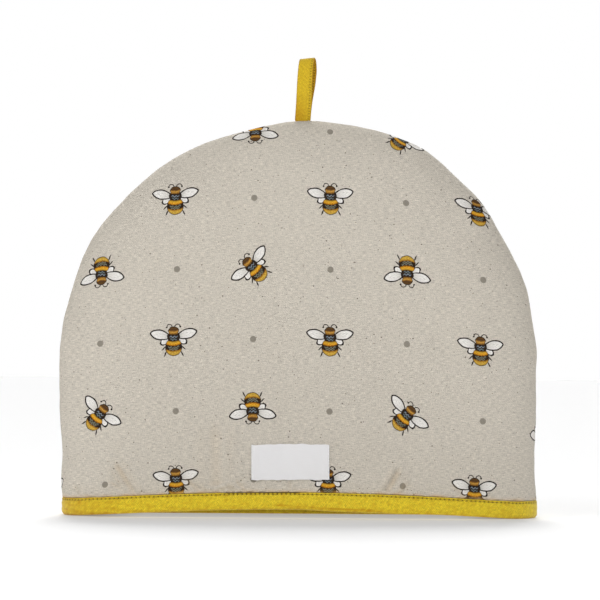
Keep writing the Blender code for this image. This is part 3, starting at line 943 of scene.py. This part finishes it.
def yellow_cloth(name, pitch):
    """Mustard cotton on the bias, darker by the mesh's shade values (painted shade and real
    mottling), with painted shade in its needle holes.
    """
    graph = Graph(name, roughness=0.9, sheen=0.2, specular=0.15)
    u, v = graph.place()
    along, across = (u + v) * BIAS, (u - v) * BIAS
    twill = (u + v * TWILL_SLANT).wave(TWILL_PITCH) * TWILL_TONE
    tone = cloth_tone(graph, along, across, 0.4) + twill + graph.noises(u, v, YELLOW_SPECKS)
    colour = graph.tint(linear(YELLOW_COLOUR), tone)
    colour = graph.lay(colour, graph.kept("shade"), OCHRE_COLOUR)
    # painted shade in the needle holes and scallops
    colour = graph.lay(colour, graph.kept("hole"), HOLE_COLOUR)
    height = weave(along, across, pitch) + graph.noises(u, v, YELLOW_RELIEF)
    return graph.finish(colour, height, YELLOW_DEPTH)


def thread_material(name, colour):
    """Twisted sewing thread: fine slanting ridges."""
    graph = Graph(name, roughness=0.7, sheen=0.1, specular=0.3)
    x, _, z = graph.parts(graph.add("TexCoord").outputs["Object"])
    ridges = (x + z).wave(THREAD_TWIST)
    return graph.finish(graph.tint(linear(colour), ridges * 0.06 + 1.0), ridges, THREAD_DEPTH)


# --- Hem binding ---
STITCH_PITCH = 3.1 * MM
STITCH_DROP = 1.3 * MM  # stitch line below the binding's top edge
STITCH_FRACTIONS = (0.0, 0.12, 0.25, 0.5, 0.75, 0.88)  # stations within one stitch
THREAD_FRACTIONS = (0.10, 0.2, 0.35, 0.5, 0.65, 0.8, 0.90)  # and points of its thread
HOLE_DEPTH = 0.35 * MM
HOLE_SIZE = 0.4 * MM  # half its height
HOLE_LENGTH = 0.75 * MM  # half of it along the hem
GROOVE_SHARE, GROOVE_WIDTH = 0.3, 1.6  # of a hole's depth and size, between the holes
BINDING_PUFF = 0.35 * MM
BINDING_WAVER = 0.12 * MM  # how far the top edge dips
WAVER_RISE = (6.0 * MM, 12.0 * MM)  # none below the first height, full above the second
HEM_LEGS = 6  # right seam, front, left seam, left seam, back, right seam
LEFT_END_MM = (-95.0, -165.0)  # the binding darkens between these sideways places
# Sideways places in mm between which the front's binding has, in turn, a scalloped top edge with
# painted shadow, a painted crease shade near its lower edge, and a foot that hangs lower
SCALLOP_SHADOW_MM = (-54.0, -50.0, -1.0, 3.0)
FOLD_MM = (-18.0, -12.0, 56.0, 64.0)
HANG_MM = (0.0, 31.0, 66.0, 112.0)
HANG = 1.1 * MM
# Binding weights: least, painted foot shade, real mottling, painted crease shade, darker left end,
# and painted shadow under the scalloped top edge
Shade = namedtuple("Shade", "least foot mottle fold left_end worn_edge")
BINDING_SHADE = Shade(0.06, 0.25, 0.2, 0.8, 0.4, 0.8)
FOLD_X_MM, FOLD_HEIGHT_MM = (-14.0, 58.0), (2.8, 1.6)  # the painted crease shade's two ends
FOLD_HALF_MM = 0.5  # about half its width
# Shares of the binding's height: where its painted foot shade ends, where the scallops of painted
# shadow lie, how far they rise and how soft their edge is
DARK_FOOT = 0.42
SCALLOP_LEVEL, SCALLOP_RISE, SCALLOP_SOFT = 0.9, 0.06, 0.02


def hem_frame(travel):
    """Points of the wall's middle, level outward directions and sides along the hem.

    travel runs from 0 to 6. Each leg is even in length: near the seams the ring
    follows a square, and along the middle the share follows the arc cosine.
    """
    leg = np.floor(travel).astype(int) % HEM_LEGS
    step = travel - np.floor(travel)
    side = np.where(leg < HEM_LEGS // 2, FRONT, BACK)
    leave, arrive = 1.0 - step**2, 1.0 - (1.0 - step) ** 2
    across = np.arccos(np.clip(1.0 - 2.0 * step, -1.0, 1.0)) / np.pi
    ring = np.choose(leg, (leave, 0.0, arrive, leave, 0.0, arrive))
    share = np.choose(leg, (0.0, across, 1.0, 1.0, 1.0 - across, 0.0))
    middle, normal = middle_point(ring, share), middle_normal(ring, share)
    middle[..., 1] *= -side
    normal[..., 1] *= -side
    return middle, normal, side


def even_travel():
    """Travels and distances of the hem's stations, the same few within every stitch."""
    fine = np.linspace(0.0, HEM_LEGS, 24001)
    length = travelled(hem_frame(fine)[0])
    stitches = round(length[-1] / STITCH_PITCH)
    places = (np.arange(stitches)[:, None] + np.array(STITCH_FRACTIONS)).ravel()
    places = places / stitches * length[-1]
    return np.interp(places, length, fine), places


def fold_profile():
    """The binding's section: distance from the wall's middle, and height."""
    face = BINDING_SLOT + BINDING_CLOTH
    bend = BINDING_CLOTH / 2
    fold = BINDING_HEIGHT - bend
    below = BINDING_HEIGHT - STITCH_DROP - MM
    angle = np.linspace(0.0, math.pi, 7)
    top = stacked(BINDING_SLOT + bend - bend * np.cos(angle), fold + bend * np.sin(angle))
    heights = np.append(np.linspace(fold, below, 9)[1:], np.linspace(below, BINDING_ROUND, 6)[1:-1])
    angle = np.linspace(0.0, math.pi / 2, 6)
    corner = stacked(BINDING_FLAT + (face - BINDING_FLAT) * np.cos(angle),
                     BINDING_ROUND * (1.0 - np.sin(angle)))
    right = np.vstack((top, stacked(face, heights), corner))
    floor = [(-BINDING_SLOT, BINDING_CLOTH), (BINDING_SLOT, BINDING_CLOTH)]
    return np.vstack((right, [(0.0, 0.0)], right[::-1] * (-1.0, 1.0), floor))


def needle_holes(along, pitch, length):
    """1 at the holes of a row of stitches, and less away from them."""
    return bell(((along / pitch + 0.5) % 1.0 - 0.5) * pitch / length)


def binding_shade(x, along, up, height, is_front):
    """How dark the binding is painted: painted shade at its foot and in a crease near its lower edge,
    real mottling, and darker towards the left end.
    """
    # painted shade at the foot and in the crease; the mottling is the cloth's own
    low = 1.0 - smoothstep(0.0, DARK_FOOT, up)
    mottle = soft_noise(along, 30 * up, 9.0, 95) + soft_noise(along, 30 * up, 4.0, 96)
    fold = bell((height / MM - np.interp(x, FOLD_X_MM, FOLD_HEIGHT_MM)) / FOLD_HALF_MM)
    fold = fold * between(x, *FOLD_MM) * is_front
    least, by_foot, by_mottle, by_fold, by_end, _ = BINDING_SHADE
    dark = least + by_foot * low**2 + by_mottle * mottle + by_fold * fold
    return np.clip(dark + by_end * smoothstep(*LEFT_END_MM, x), 0.0, 1.0)


def make_binding(name, material):
    """The folded strip that runs once round the hem, with its dented stitch line."""
    travel, places = even_travel()
    middle, normal, side = hem_frame(travel)
    profile = fold_profile()
    offset, height = profile.T
    along, x = places[:, None] / MM, middle[:, :1] / MM
    is_front = (side == FRONT)[:, None]
    is_face = (np.abs(offset) > BINDING_SLOT + 0.2 * MM) & (height > 0.0)
    up = np.clip(height / BINDING_HEIGHT, 0.0, 1.0)
    puff = BINDING_PUFF * np.sin(np.pi * up) * (1.0 + 0.5 * soft_noise(along, 40 * up, 14.0, 91))
    line = (height - (BINDING_HEIGHT - STITCH_DROP)) / HOLE_SIZE
    hole = needle_holes(places[:, None], STITCH_PITCH, HOLE_LENGTH) * bell(line)
    dent = HOLE_DEPTH * np.maximum(hole, GROOVE_SHARE * bell(line / GROOVE_WIDTH))
    out = offset + np.sign(offset) * np.where(is_face, puff - dent, 0.0)
    waver = 0.5 * BINDING_WAVER * (soft_noise(along, 0.0 * along, 21.0, 93) - 1.0)
    points = middle[:, None] + normal[:, None] * out[..., None]
    points[..., 2] = height + waver * smoothstep(*WAVER_RISE, height)
    points[side == FRONT] = settle(points[side == FRONT], FRONT)
    hang = HANG * between(x, *HANG_MM) * is_front
    points[..., 2] -= hang * (1.0 - smoothstep(0.0, 0.8, up))
    # painted shadow in scallops under the front binding's top edge, in the hole colour
    arches = np.abs(np.sin(np.pi * places[:, None] / STITCH_PITCH))
    scallops = SCALLOP_LEVEL + SCALLOP_RISE * arches
    shadowed_scallops = smoothstep(scallops - SCALLOP_SOFT, scallops + SCALLOP_SOFT, up)
    shadowed_scallops = shadowed_scallops * between(x, *SCALLOP_SHADOW_MM) * is_front
    # the hole values paint shade in the needle holes and the shadow under the scallops
    values = {"shade": binding_shade(x, along, up, height, is_front),
              "hole": np.maximum(np.where(is_face, hole**0.5, 0.0), BINDING_SHADE.worn_edge * shadowed_scallops)}
    cloth = stacked(along, travelled(profile) / MM)
    return make_band(name, points, cloth, material, values)


def binding_spines():
    """Thread spines of the binding's stitches, on its outer and inner faces."""
    travel, places = even_travel()
    starts = places[::len(STITCH_FRACTIONS)]
    pitch = starts[1]
    wanted = starts[:, None] + np.array(THREAD_FRACTIONS) * pitch
    known = np.append(places, pitch * len(starts))
    travels = np.interp(wanted, known, np.append(travel, HEM_LEGS))
    rise = THREAD_RADIUS * (np.sin(np.pi * np.linspace(0.1, 0.9, len(THREAD_FRACTIONS))) - 0.55)
    face = BINDING_SLOT + BINDING_CLOTH
    spines = []
    for row in travels:
        middle, normal, side = hem_frame(row % HEM_LEGS)
        for hand in (1, -1):
            points = middle + hand * normal * (face + rise)[:, None]
            points[:, 2] = BINDING_HEIGHT - STITCH_DROP
            spines.append(settle(points, side[0]))
    return spines


# --- Hanging loop ---
LOOP_STEPS = 240
LOOP_FOOT_STEPS = 10  # on each side of its foot
LOOP_FOOT_FLAT = 0.35  # share of them under the seam
LOOP_ACROSS = 16
LOOP_TURN = math.radians(-8.0)
LOOP_NARROWING = 0.04  # share of the width lost at the top
LOOP_SLANT = 0.11  # rise of its top for each metre to the right
LOOP_WAVE = 0.18 * MM
LOOP_STITCH_PITCH = 1.9 * MM
LOOP_STITCH_EDGE = 1.5 * MM  # stitch line from the tape's right edge
LOOP_STITCH_GROOVE = 0.55 * MM  # half the width that it draws in
LOOP_HOLE = 0.4 * MM  # half of a needle hole along the tape
LOOP_DARK_FOOT = (284.0 * MM, 305.0 * MM)  # its left is darker below the first height
# Tape darkening: least, its lower left, real mottling, its edges, and painted shade on the back leg
LoopShade = namedtuple("LoopShade", "least lower_left mottle edge behind")
LOOP_SHADE = LoopShade(0.42, 0.5, 0.15, 0.4, 0.4)
# hole colour on the tape: a little everywhere, painted shade at the needle holes, and darker on its
# narrow sides
LOOP_HOLE_LEAST, LOOP_HOLE_MORE, LOOP_EDGE_HOLE = 0.06, 0.84, 0.28
LOOP_PULL = 0.35  # share of its half thickness that the stitch line sinks


def groove_height(x):
    """Height of the crown seam's groove at sideways places near the crown."""
    share = np.linspace(0.3, 0.7, 801)
    ring = np.ones_like(share)
    middle = middle_point(ring, share)
    seam = middle + middle_normal(ring, share) * face_offsets(ring, middle[:, 2])[0][:, None]
    return np.interp(x, seam[::-1, 0], seam[::-1, 2])


def loop_paths():
    """Depths and heights round the loop, outside and inside, as in the model."""
    hole_foot = CROWN_HEIGHT + LOOP_TIP
    half = (LOOP_TOP - TAPE_THICK - hole_foot) / 2
    width = LOOP_GAP / 2 / DROP_PEAK
    angle = math.tau * np.arange(LOOP_STEPS) / LOOP_STEPS
    depth = width * np.sin(angle) * np.sin(angle / 2)
    inside_path = stacked(depth, hole_foot + half * (1.0 - np.cos(angle)))
    along = np.roll(inside_path, -1, axis=0) - np.roll(inside_path, 1, axis=0)
    outside_path = inside_path + unit(stacked(along[:, 1], -along[:, 0])) * TAPE_THICK
    step = np.arange(-LOOP_FOOT_STEPS, LOOP_FOOT_STEPS + 1)
    hand = np.where(step < 0, -1, 1)
    reach = np.abs(step) / LOOP_FOOT_STEPS
    start = outside_path[LOOP_FOOT_STEPS * hand]
    flat = hand * np.minimum(1.0, reach / LOOP_FOOT_FLAT) * TAPE_THICK
    foot = stacked(flat, groove_height(LOOP_MIDDLE) + GAP)
    outside_path[step] = foot + (start - foot) * smoothstep(LOOP_FOOT_FLAT, 1.0, reach)[:, None]
    return outside_path, inside_path


def tape_section():
    """Round the tape's own section: share of the width, and share of the thickness."""
    edge = 0.5 * TAPE_THICK / TAPE_WIDTH
    across = np.linspace(edge, 1.0 - edge, LOOP_ACROSS)
    turn = np.linspace(0.0, math.pi, 6)[1:-1]
    outer = stacked(across, 1.0)
    right = stacked(1.0 - edge + edge * np.sin(turn), 0.5 + 0.5 * np.cos(turn))
    return np.vstack((outer, right, 1.0 - outer, 1.0 - right))


def tape_place(depth, height, share):
    """Points of the tape, turned a little more the higher they stand."""
    up = np.maximum(0.0, height - CROWN_HEIGHT)
    risen = smoothstep(0.0, 0.8, up / (LOOP_TOP - CROWN_HEIGHT))
    near_top = smoothstep(0.4, 1.0, up / (LOOP_TOP - CROWN_HEIGHT))
    turn = LOOP_TURN * risen
    across = (share - 0.5) * TAPE_WIDTH * (1.0 - LOOP_NARROWING * risen)
    behind = np.maximum(0.0, depth / (LOOP_GAP / 2 + TAPE_THICK))
    x = LOOP_MIDDLE + LOOP_LEAN * up + across * np.cos(turn) - depth * np.sin(turn)
    return stacked(x + LOOP_TWIST * behind * risen,
                   depth * np.cos(turn) + across * np.sin(turn),
                   height + LOOP_SLANT * across * near_top)


def make_loop(name, material):
    """The folded tape: a closed band whose joined ends stand in the crown seam."""
    outside_path, inside_path = loop_paths()
    section = tape_section()
    share, rise = section.T
    path = inside_path[:, None] * (1.0 - rise[:, None]) + outside_path[:, None] * rise[:, None]
    along = travelled(outside_path)[:, None]
    groove = bell(((1.0 - share) * TAPE_WIDTH - LOOP_STITCH_EDGE) / LOOP_STITCH_GROOVE)
    hole = groove * needle_holes(along, LOOP_STITCH_PITCH, LOOP_HOLE)
    middle = 0.5 * (inside_path + outside_path)[:, None]
    path = path + (middle - path) * (LOOP_PULL * groove + 0.25 * hole)[..., None]
    wave = LOOP_WAVE * soft_noise(share * TAPE_WIDTH / MM, along / MM, 11.0, 55)
    path[..., 0] += wave * smoothstep(LOOP_TIP, 3 * LOOP_TIP, path[..., 1] - CROWN_HEIGHT)
    points = tape_place(path[..., 0], path[..., 1], share)
    lower_left = (1.0 - share) * (1.0 - smoothstep(*LOOP_DARK_FOOT, points[..., 2]))
    at_edge = smoothstep(0.42, 0.5, np.abs(share - 0.5))
    # painted shade on the back leg
    behind = smoothstep(0.0, 2.0 * MM, path[..., 0])
    mottle = soft_noise(along / MM, 30 * share, 3.0, 57)
    least, by_foot, by_mottle, by_edge, by_depth = LOOP_SHADE
    shade = least + by_foot * lower_left + by_mottle * mottle + by_edge * at_edge + by_depth * behind
    on_face = (rise > 0.9) | (rise < 0.1)
    values = {"shade": np.clip(shade, 0.0, 1.0),
              "hole": np.where(on_face, LOOP_HOLE_LEAST + LOOP_HOLE_MORE * hole, LOOP_EDGE_HOLE)}
    round_it = travelled(section * (TAPE_WIDTH, TAPE_THICK))
    return make_band(name, points, stacked(along, round_it) / MM, material, values)


def loop_spines():
    """Thread spines of the stitches near the tape's right edge, outside and inside."""
    outside_path, inside_path = loop_paths()
    along = travelled(outside_path)
    middle = 0.5 * (inside_path + outside_path)
    spines = []
    for number in range(1, int(along[-1] / LOOP_STITCH_PITCH)):
        places = (number + np.linspace(0.14, 0.86, 5)) * LOOP_STITCH_PITCH
        for path in (outside_path, inside_path):
            sunk = path + (middle - path) * LOOP_PULL
            depth, height = [np.interp(places, along, part) for part in sunk.T]
            if height.min() > CROWN_HEIGHT + 3 * LOOP_TIP:
                spines.append(tape_place(depth, height, 1.0 - LOOP_STITCH_EDGE / TAPE_WIDTH))
    return spines


# --- Label ---
LABEL_COLUMNS, LABEL_ROWS = 110, 52
LABEL_SHEET = 0.45 * MM  # one layer of the ribbon
LABEL_FOLD = 6.0 * MM  # folded under at both short ends
LABEL_LIFT = 0.9 * MM  # how far its lower left corner stands off
LABEL_BOW = 0.7 * MM  # how far its top edge rises in the middle
LABEL_BOW_REACH = LABEL_WIDTH / 2.2  # and from there to where it no longer rises
LABEL_WAVE = 0.34 * MM
LABEL_EDGE_WAVE = 0.22 * MM
LABEL_STITCH_INSET = 0.7 * MM
LABEL_STITCH_WIDTH = 0.8 * MM  # half the width that the stitches draw in
LABEL_STITCH_DENT = 0.2 * MM
LABEL_FOLD_FADE = 4.0 * MM
LABEL_HELD = 14.0 * MM  # the long edges lie flatter this near the short ends
LABEL_CORNER = 6.5 * MM  # reach of the lower left corner's lift
LABEL_STITCH_PITCH = 2.3 * MM
LABEL_STITCH_START = 0.8 * MM  # from the lower edge
LABEL_SMOOTHINGS = 12  # rounds by which the ribbon bridges the cloth's dips
LABEL_ACROSS = np.linspace(-0.5, 0.5, LABEL_COLUMNS) * LABEL_WIDTH
LABEL_UPWARDS = np.linspace(-0.5, 0.5, LABEL_ROWS) * LABEL_HEIGHT


def label_place(surface, right, up):
    """A point of the front panel under a place in the label's own frame."""
    x = LABEL_LEFT + LABEL_WIDTH / 2 + right - up * LABEL_TURN
    z = LABEL_FOOT + LABEL_HEIGHT / 2 + up + right * LABEL_TURN
    hit = surface.ray_cast(Vector((x, -2 * HALF_DEPTH, z)), Vector((0.0, 1.0, 0.0)))[0]
    return x, hit.y, z


def label_base(surface):
    """The panel under the label, as smooth as the ribbon bridges it."""
    base = np.array([[label_place(surface, right, up) for right in LABEL_ACROSS]
                     for up in LABEL_UPWARDS])
    depth = base[..., 1].copy()
    for _ in range(LABEL_SMOOTHINGS):
        padded = np.pad(depth, 1, mode="edge")
        depth = (padded[:-2, 1:-1] + padded[2:, 1:-1] + padded[1:-1, :-2]
                 + padded[1:-1, 2:] + 4 * depth) / 8
    base[..., 1] = np.minimum(depth, base[..., 1])
    return base


def make_label(name, surface, material):
    """A thin blank ribbon on the front, its short ends folded under and sewn down."""
    right, up = np.meshgrid(LABEL_ACROSS, LABEL_UPWARDS)
    high = np.abs(up) / LABEL_HEIGHT
    from_end = LABEL_WIDTH / 2 - np.abs(right)
    folded = 1.0 - smoothstep(LABEL_FOLD - LABEL_FOLD_FADE, LABEL_FOLD, from_end)
    sewn = bell((from_end - LABEL_STITCH_INSET) / LABEL_STITCH_WIDTH)
    held = 1.0 - smoothstep(0.0, LABEL_HELD, from_end)
    free_edge = smoothstep(0.30, 0.5, high) * (1.0 - 0.8 * held)
    waves = LABEL_WAVE * (1.0 + soft_noise(right / MM, up / MM, 17.0, 61)) * (0.35 + free_edge)
    from_corner = np.hypot(right + LABEL_WIDTH / 2, up + LABEL_HEIGHT / 2)
    off = GAP + waves + LABEL_LIFT * bell(from_corner / LABEL_CORNER)
    thick = LABEL_SHEET * (1.0 + 0.7 * folded) - LABEL_STITCH_DENT * sewn
    bow = np.clip(1.0 - (right / LABEL_BOW_REACH) ** 2, 0.0, 1.0) ** 2
    bow = LABEL_BOW * smoothstep(0.0, 0.5, up / LABEL_HEIGHT) * bow
    ragged = LABEL_EDGE_WAVE * soft_noise(right / MM, 30.0 * np.sign(up), 8.0, 63)
    rise = bow + ragged * smoothstep(0.2, 0.5, high)
    back = label_base(surface) + stacked(0.0, -off, rise)
    front = back - stacked(0.0, thick, 0.0)
    back_numbers = numbered(LABEL_ROWS, LABEL_COLUMNS)
    front_numbers = back_numbers + back_numbers.size
    groups = [(quads(back_numbers), 0), (zip_rims(back_numbers, front_numbers), 0),
              (quads(front_numbers), 0)]
    flat = stacked(right, up).reshape(-1, 2) / MM
    maps = {"cloth": corner_map(np.vstack((flat, flat)), groups)}
    return make_mesh(name, np.stack((back, front)), groups, [material], maps), front


def label_spines(front):
    """Thread spines of the stitches that hold the label's short ends."""
    spines = []
    for hand in (-1, 1):
        place = hand * (LABEL_WIDTH / 2 - LABEL_STITCH_INSET)
        line = front[:, np.argmin(np.abs(LABEL_ACROSS - place))]
        start = LABEL_UPWARDS[0] + LABEL_STITCH_START
        while start + LABEL_STITCH_PITCH < LABEL_UPWARDS[-1]:
            places = start + np.linspace(0.12, 0.88, 5) * LABEL_STITCH_PITCH
            spine = stacked(*[np.interp(places, LABEL_UPWARDS, part) for part in line.T])
            spines.append(spine - np.array((0.0, THREAD_RADIUS * 0.3, 0.0)))
            start += LABEL_STITCH_PITCH
    return spines


def label_ribbon():
    """White woven ribbon with fine ribs across it."""
    graph = Graph("white_ribbon", roughness=0.6, sheen=0.15, specular=0.35)
    u, v = graph.place()
    colour = graph.tint(linear(LABEL_COLOUR), graph.noises(u, v, RIBBON_TONES) + 1.0)
    return graph.finish(colour, v.wave(0.45) * 0.6 + u.wave(0.6) * 0.25, RIBBON_DEPTH)


# --- Stage, light and camera ---
IMAGE_PIXELS = 600
PIXEL_SIZE = 0.7143 * MM  # of one image pixel at the middle of the cosy
CAMERA_DISTANCE = 4.0
SENSOR = 0.036
MIDDLE_COLUMN_PIXEL = 299.0  # image column of the frame's x = 0
GROUND_ROW_PIXEL = 516.0  # image row of the ground at the cosy's middle
CAMERA_ROLL = math.radians(-0.4)
HALF_FLOOR = 7.0
FLOOR_ALBEDO = 0.75
FLOOR_GLOW = 0.18  # the table is a lit one: what its own light gives,
INNER_GLOW = (0.15, 0.25)  # and besides within the cosy's foot, at its back and front
# Distances from the middle, to the sides and in depth, between which that fades
INNER_ASIDE, INNER_DEEP = (152.0 * MM, 105.0 * MM), (54.0 * MM, 40.0 * MM)
# Brightness of the white surround at sines of the height above the horizon
SURROUND = ((0.05, 1.0), (0.20, 0.3))
# Soft bright patches of the surround, on one side each: sines of the heights where a
# patch begins, is full, fades and is gone, how far to its side it begins and is full,
# and how far from the middle it fades and is gone
Patch = namedtuple("Patch", "side brightness begin full fade gone out deep narrow wide")
PATCHES = (
    Patch(BACK, 19.0, 0.33, 0.50, 0.80, 0.95, 0.15, 0.50, 0.04, 0.21),
    Patch(FRONT, 1.6, 0.06, 0.15, 0.30, 0.50, 0.30, 0.60, 1.00, 1.10),
)
KEY_PLACE = (-1.8, -2.6, 2.2)
KEY_TARGET = (0.0, 0.0, 0.12)
KEY_SIZE = 1.2
KEY_POWER = 28.0


def add_camera():
    """A level, distant look at the front, framed by two image places."""
    data = bpy.data.cameras.new("camera")
    data.lens = SENSOR * CAMERA_DISTANCE / (IMAGE_PIXELS * PIXEL_SIZE) / MM
    data.sensor_width = SENSOR / MM
    data.clip_end = 60.0
    camera = show("camera", data)
    half = IMAGE_PIXELS / 2
    camera.location = ((half - MIDDLE_COLUMN_PIXEL) * PIXEL_SIZE, -CAMERA_DISTANCE,
                       (GROUND_ROW_PIXEL - half) * PIXEL_SIZE)
    camera.rotation_euler = (math.pi / 2, CAMERA_ROLL, 0.0)
    bpy.context.scene.camera = camera


def add_floor():
    """A pale table, lit from within a little and more under the cosy."""
    data = bpy.data.meshes.new("floor")
    corners = [(HALF_FLOOR * x, HALF_FLOOR * y, 0.0) for x, y in ((-1, -1), (1, -1), (1, 1), (-1, 1))]
    data.from_pydata(corners, [], [(0, 1, 2, 3)])
    graph = Graph("pale_floor", roughness=1.0, specular=0.0)
    graph.shader.inputs["Base Color"].default_value = (FLOOR_ALBEDO,) * 3 + (1.0,)
    graph.shader.inputs["Emission Color"].default_value = (1.0, 1.0, 1.0, 1.0)
    aside, deep, _ = graph.parts(graph.add("NewGeometry").outputs["Position"])
    within = graph.rise(aside.size(), *INNER_ASIDE) * graph.rise(deep.size(), *INNER_DEEP)
    at_back, at_front = INNER_GLOW
    inner = graph.rise(deep, HALF_DEPTH, -HALF_DEPTH) * (at_front - at_back) + at_back
    graph.feed(graph.shader.inputs["Emission Strength"], within * inner + FLOOR_GLOW)
    data.materials.append(graph.material)
    show("floor", data)


def add_key():
    """A soft light from the upper left."""
    data = bpy.data.lights.new("key", "AREA")
    data.shape = "SQUARE"
    data.size = KEY_SIZE
    data.energy = KEY_POWER
    light = show("key", data)
    light.location = KEY_PLACE
    towards = Vector(KEY_TARGET) - Vector(KEY_PLACE)
    light.rotation_euler = towards.to_track_quat("-Z", "Y").to_euler()


def add_surround():
    """A white world, brightest behind and above."""
    world = bpy.data.worlds.new("white_surround")
    world.use_nodes = True
    graph = Nodes(world.node_tree)
    background = graph.tree.nodes["Background"]
    aside, back, up = graph.parts(graph.add("TexCoord").outputs["Generated"])
    (low, horizon), (high, above) = SURROUND
    brightness = graph.rise(up, high, low) * (horizon - above) + above
    for patch in PATCHES:
        bright = graph.rise(up, patch.begin, patch.full) * graph.rise(up, patch.gone, patch.fade)
        bright = bright * graph.rise(back * patch.side, patch.out, patch.deep)
        bright = bright * graph.rise(aside.size(), patch.wide, patch.narrow)
        brightness = brightness + bright * patch.brightness
    graph.feed(background.inputs["Color"], brightness)
    background.inputs["Strength"].default_value = 1.0
    bpy.context.scene.world = world


# --- The dressed cosy ---
def main():
    bpy.context.scene.view_settings.view_transform = "Standard"
    add_camera()
    add_surround()
    add_key()
    add_floor()

    printed, lining = printed_cloth(), lining_cloth()
    yellow_thread = thread_material("yellow_thread", YELLOW_THREAD)
    white_thread = thread_material("white_thread", WHITE_THREAD)

    front = make_panel("front_panel_cloth", FRONT, printed, lining)
    back = make_panel("back_panel_cloth", BACK, printed, lining)
    surface = BVHTree.FromPolygons([vertex.co for vertex in front.data.vertices],
                                   [list(face.vertices) for face in front.data.polygons])
    binding = make_binding("hem_binding_cloth", yellow_cloth("yellow_binding_fine", 0.7))
    binding_stitches = make_threads("binding_stitches", binding_spines(), yellow_thread)
    loop = make_loop("loop_tape", yellow_cloth("yellow_tape_fine", 0.6))
    loop_stitches = make_threads("loop_stitches", loop_spines(), yellow_thread)
    label, label_face = make_label("label_ribbon", surface, label_ribbon())
    label_stitches = make_threads("label_stitches", label_spines(label_face), white_thread)

    slots = {front: "printed_cloth", back: "printed_cloth", binding: "yellow_cotton",
             binding_stitches: "yellow_cotton", loop: "yellow_cotton",
             loop_stitches: "yellow_cotton", label: "label_tape", label_stitches: "label_tape"}
    for piece, slot in slots.items():
        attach(piece, "root")
    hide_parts("front_panel")
    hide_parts("back_panel")
    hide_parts("hem_binding")
    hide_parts("hanging_loop")
    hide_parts("sewn_label")


main()
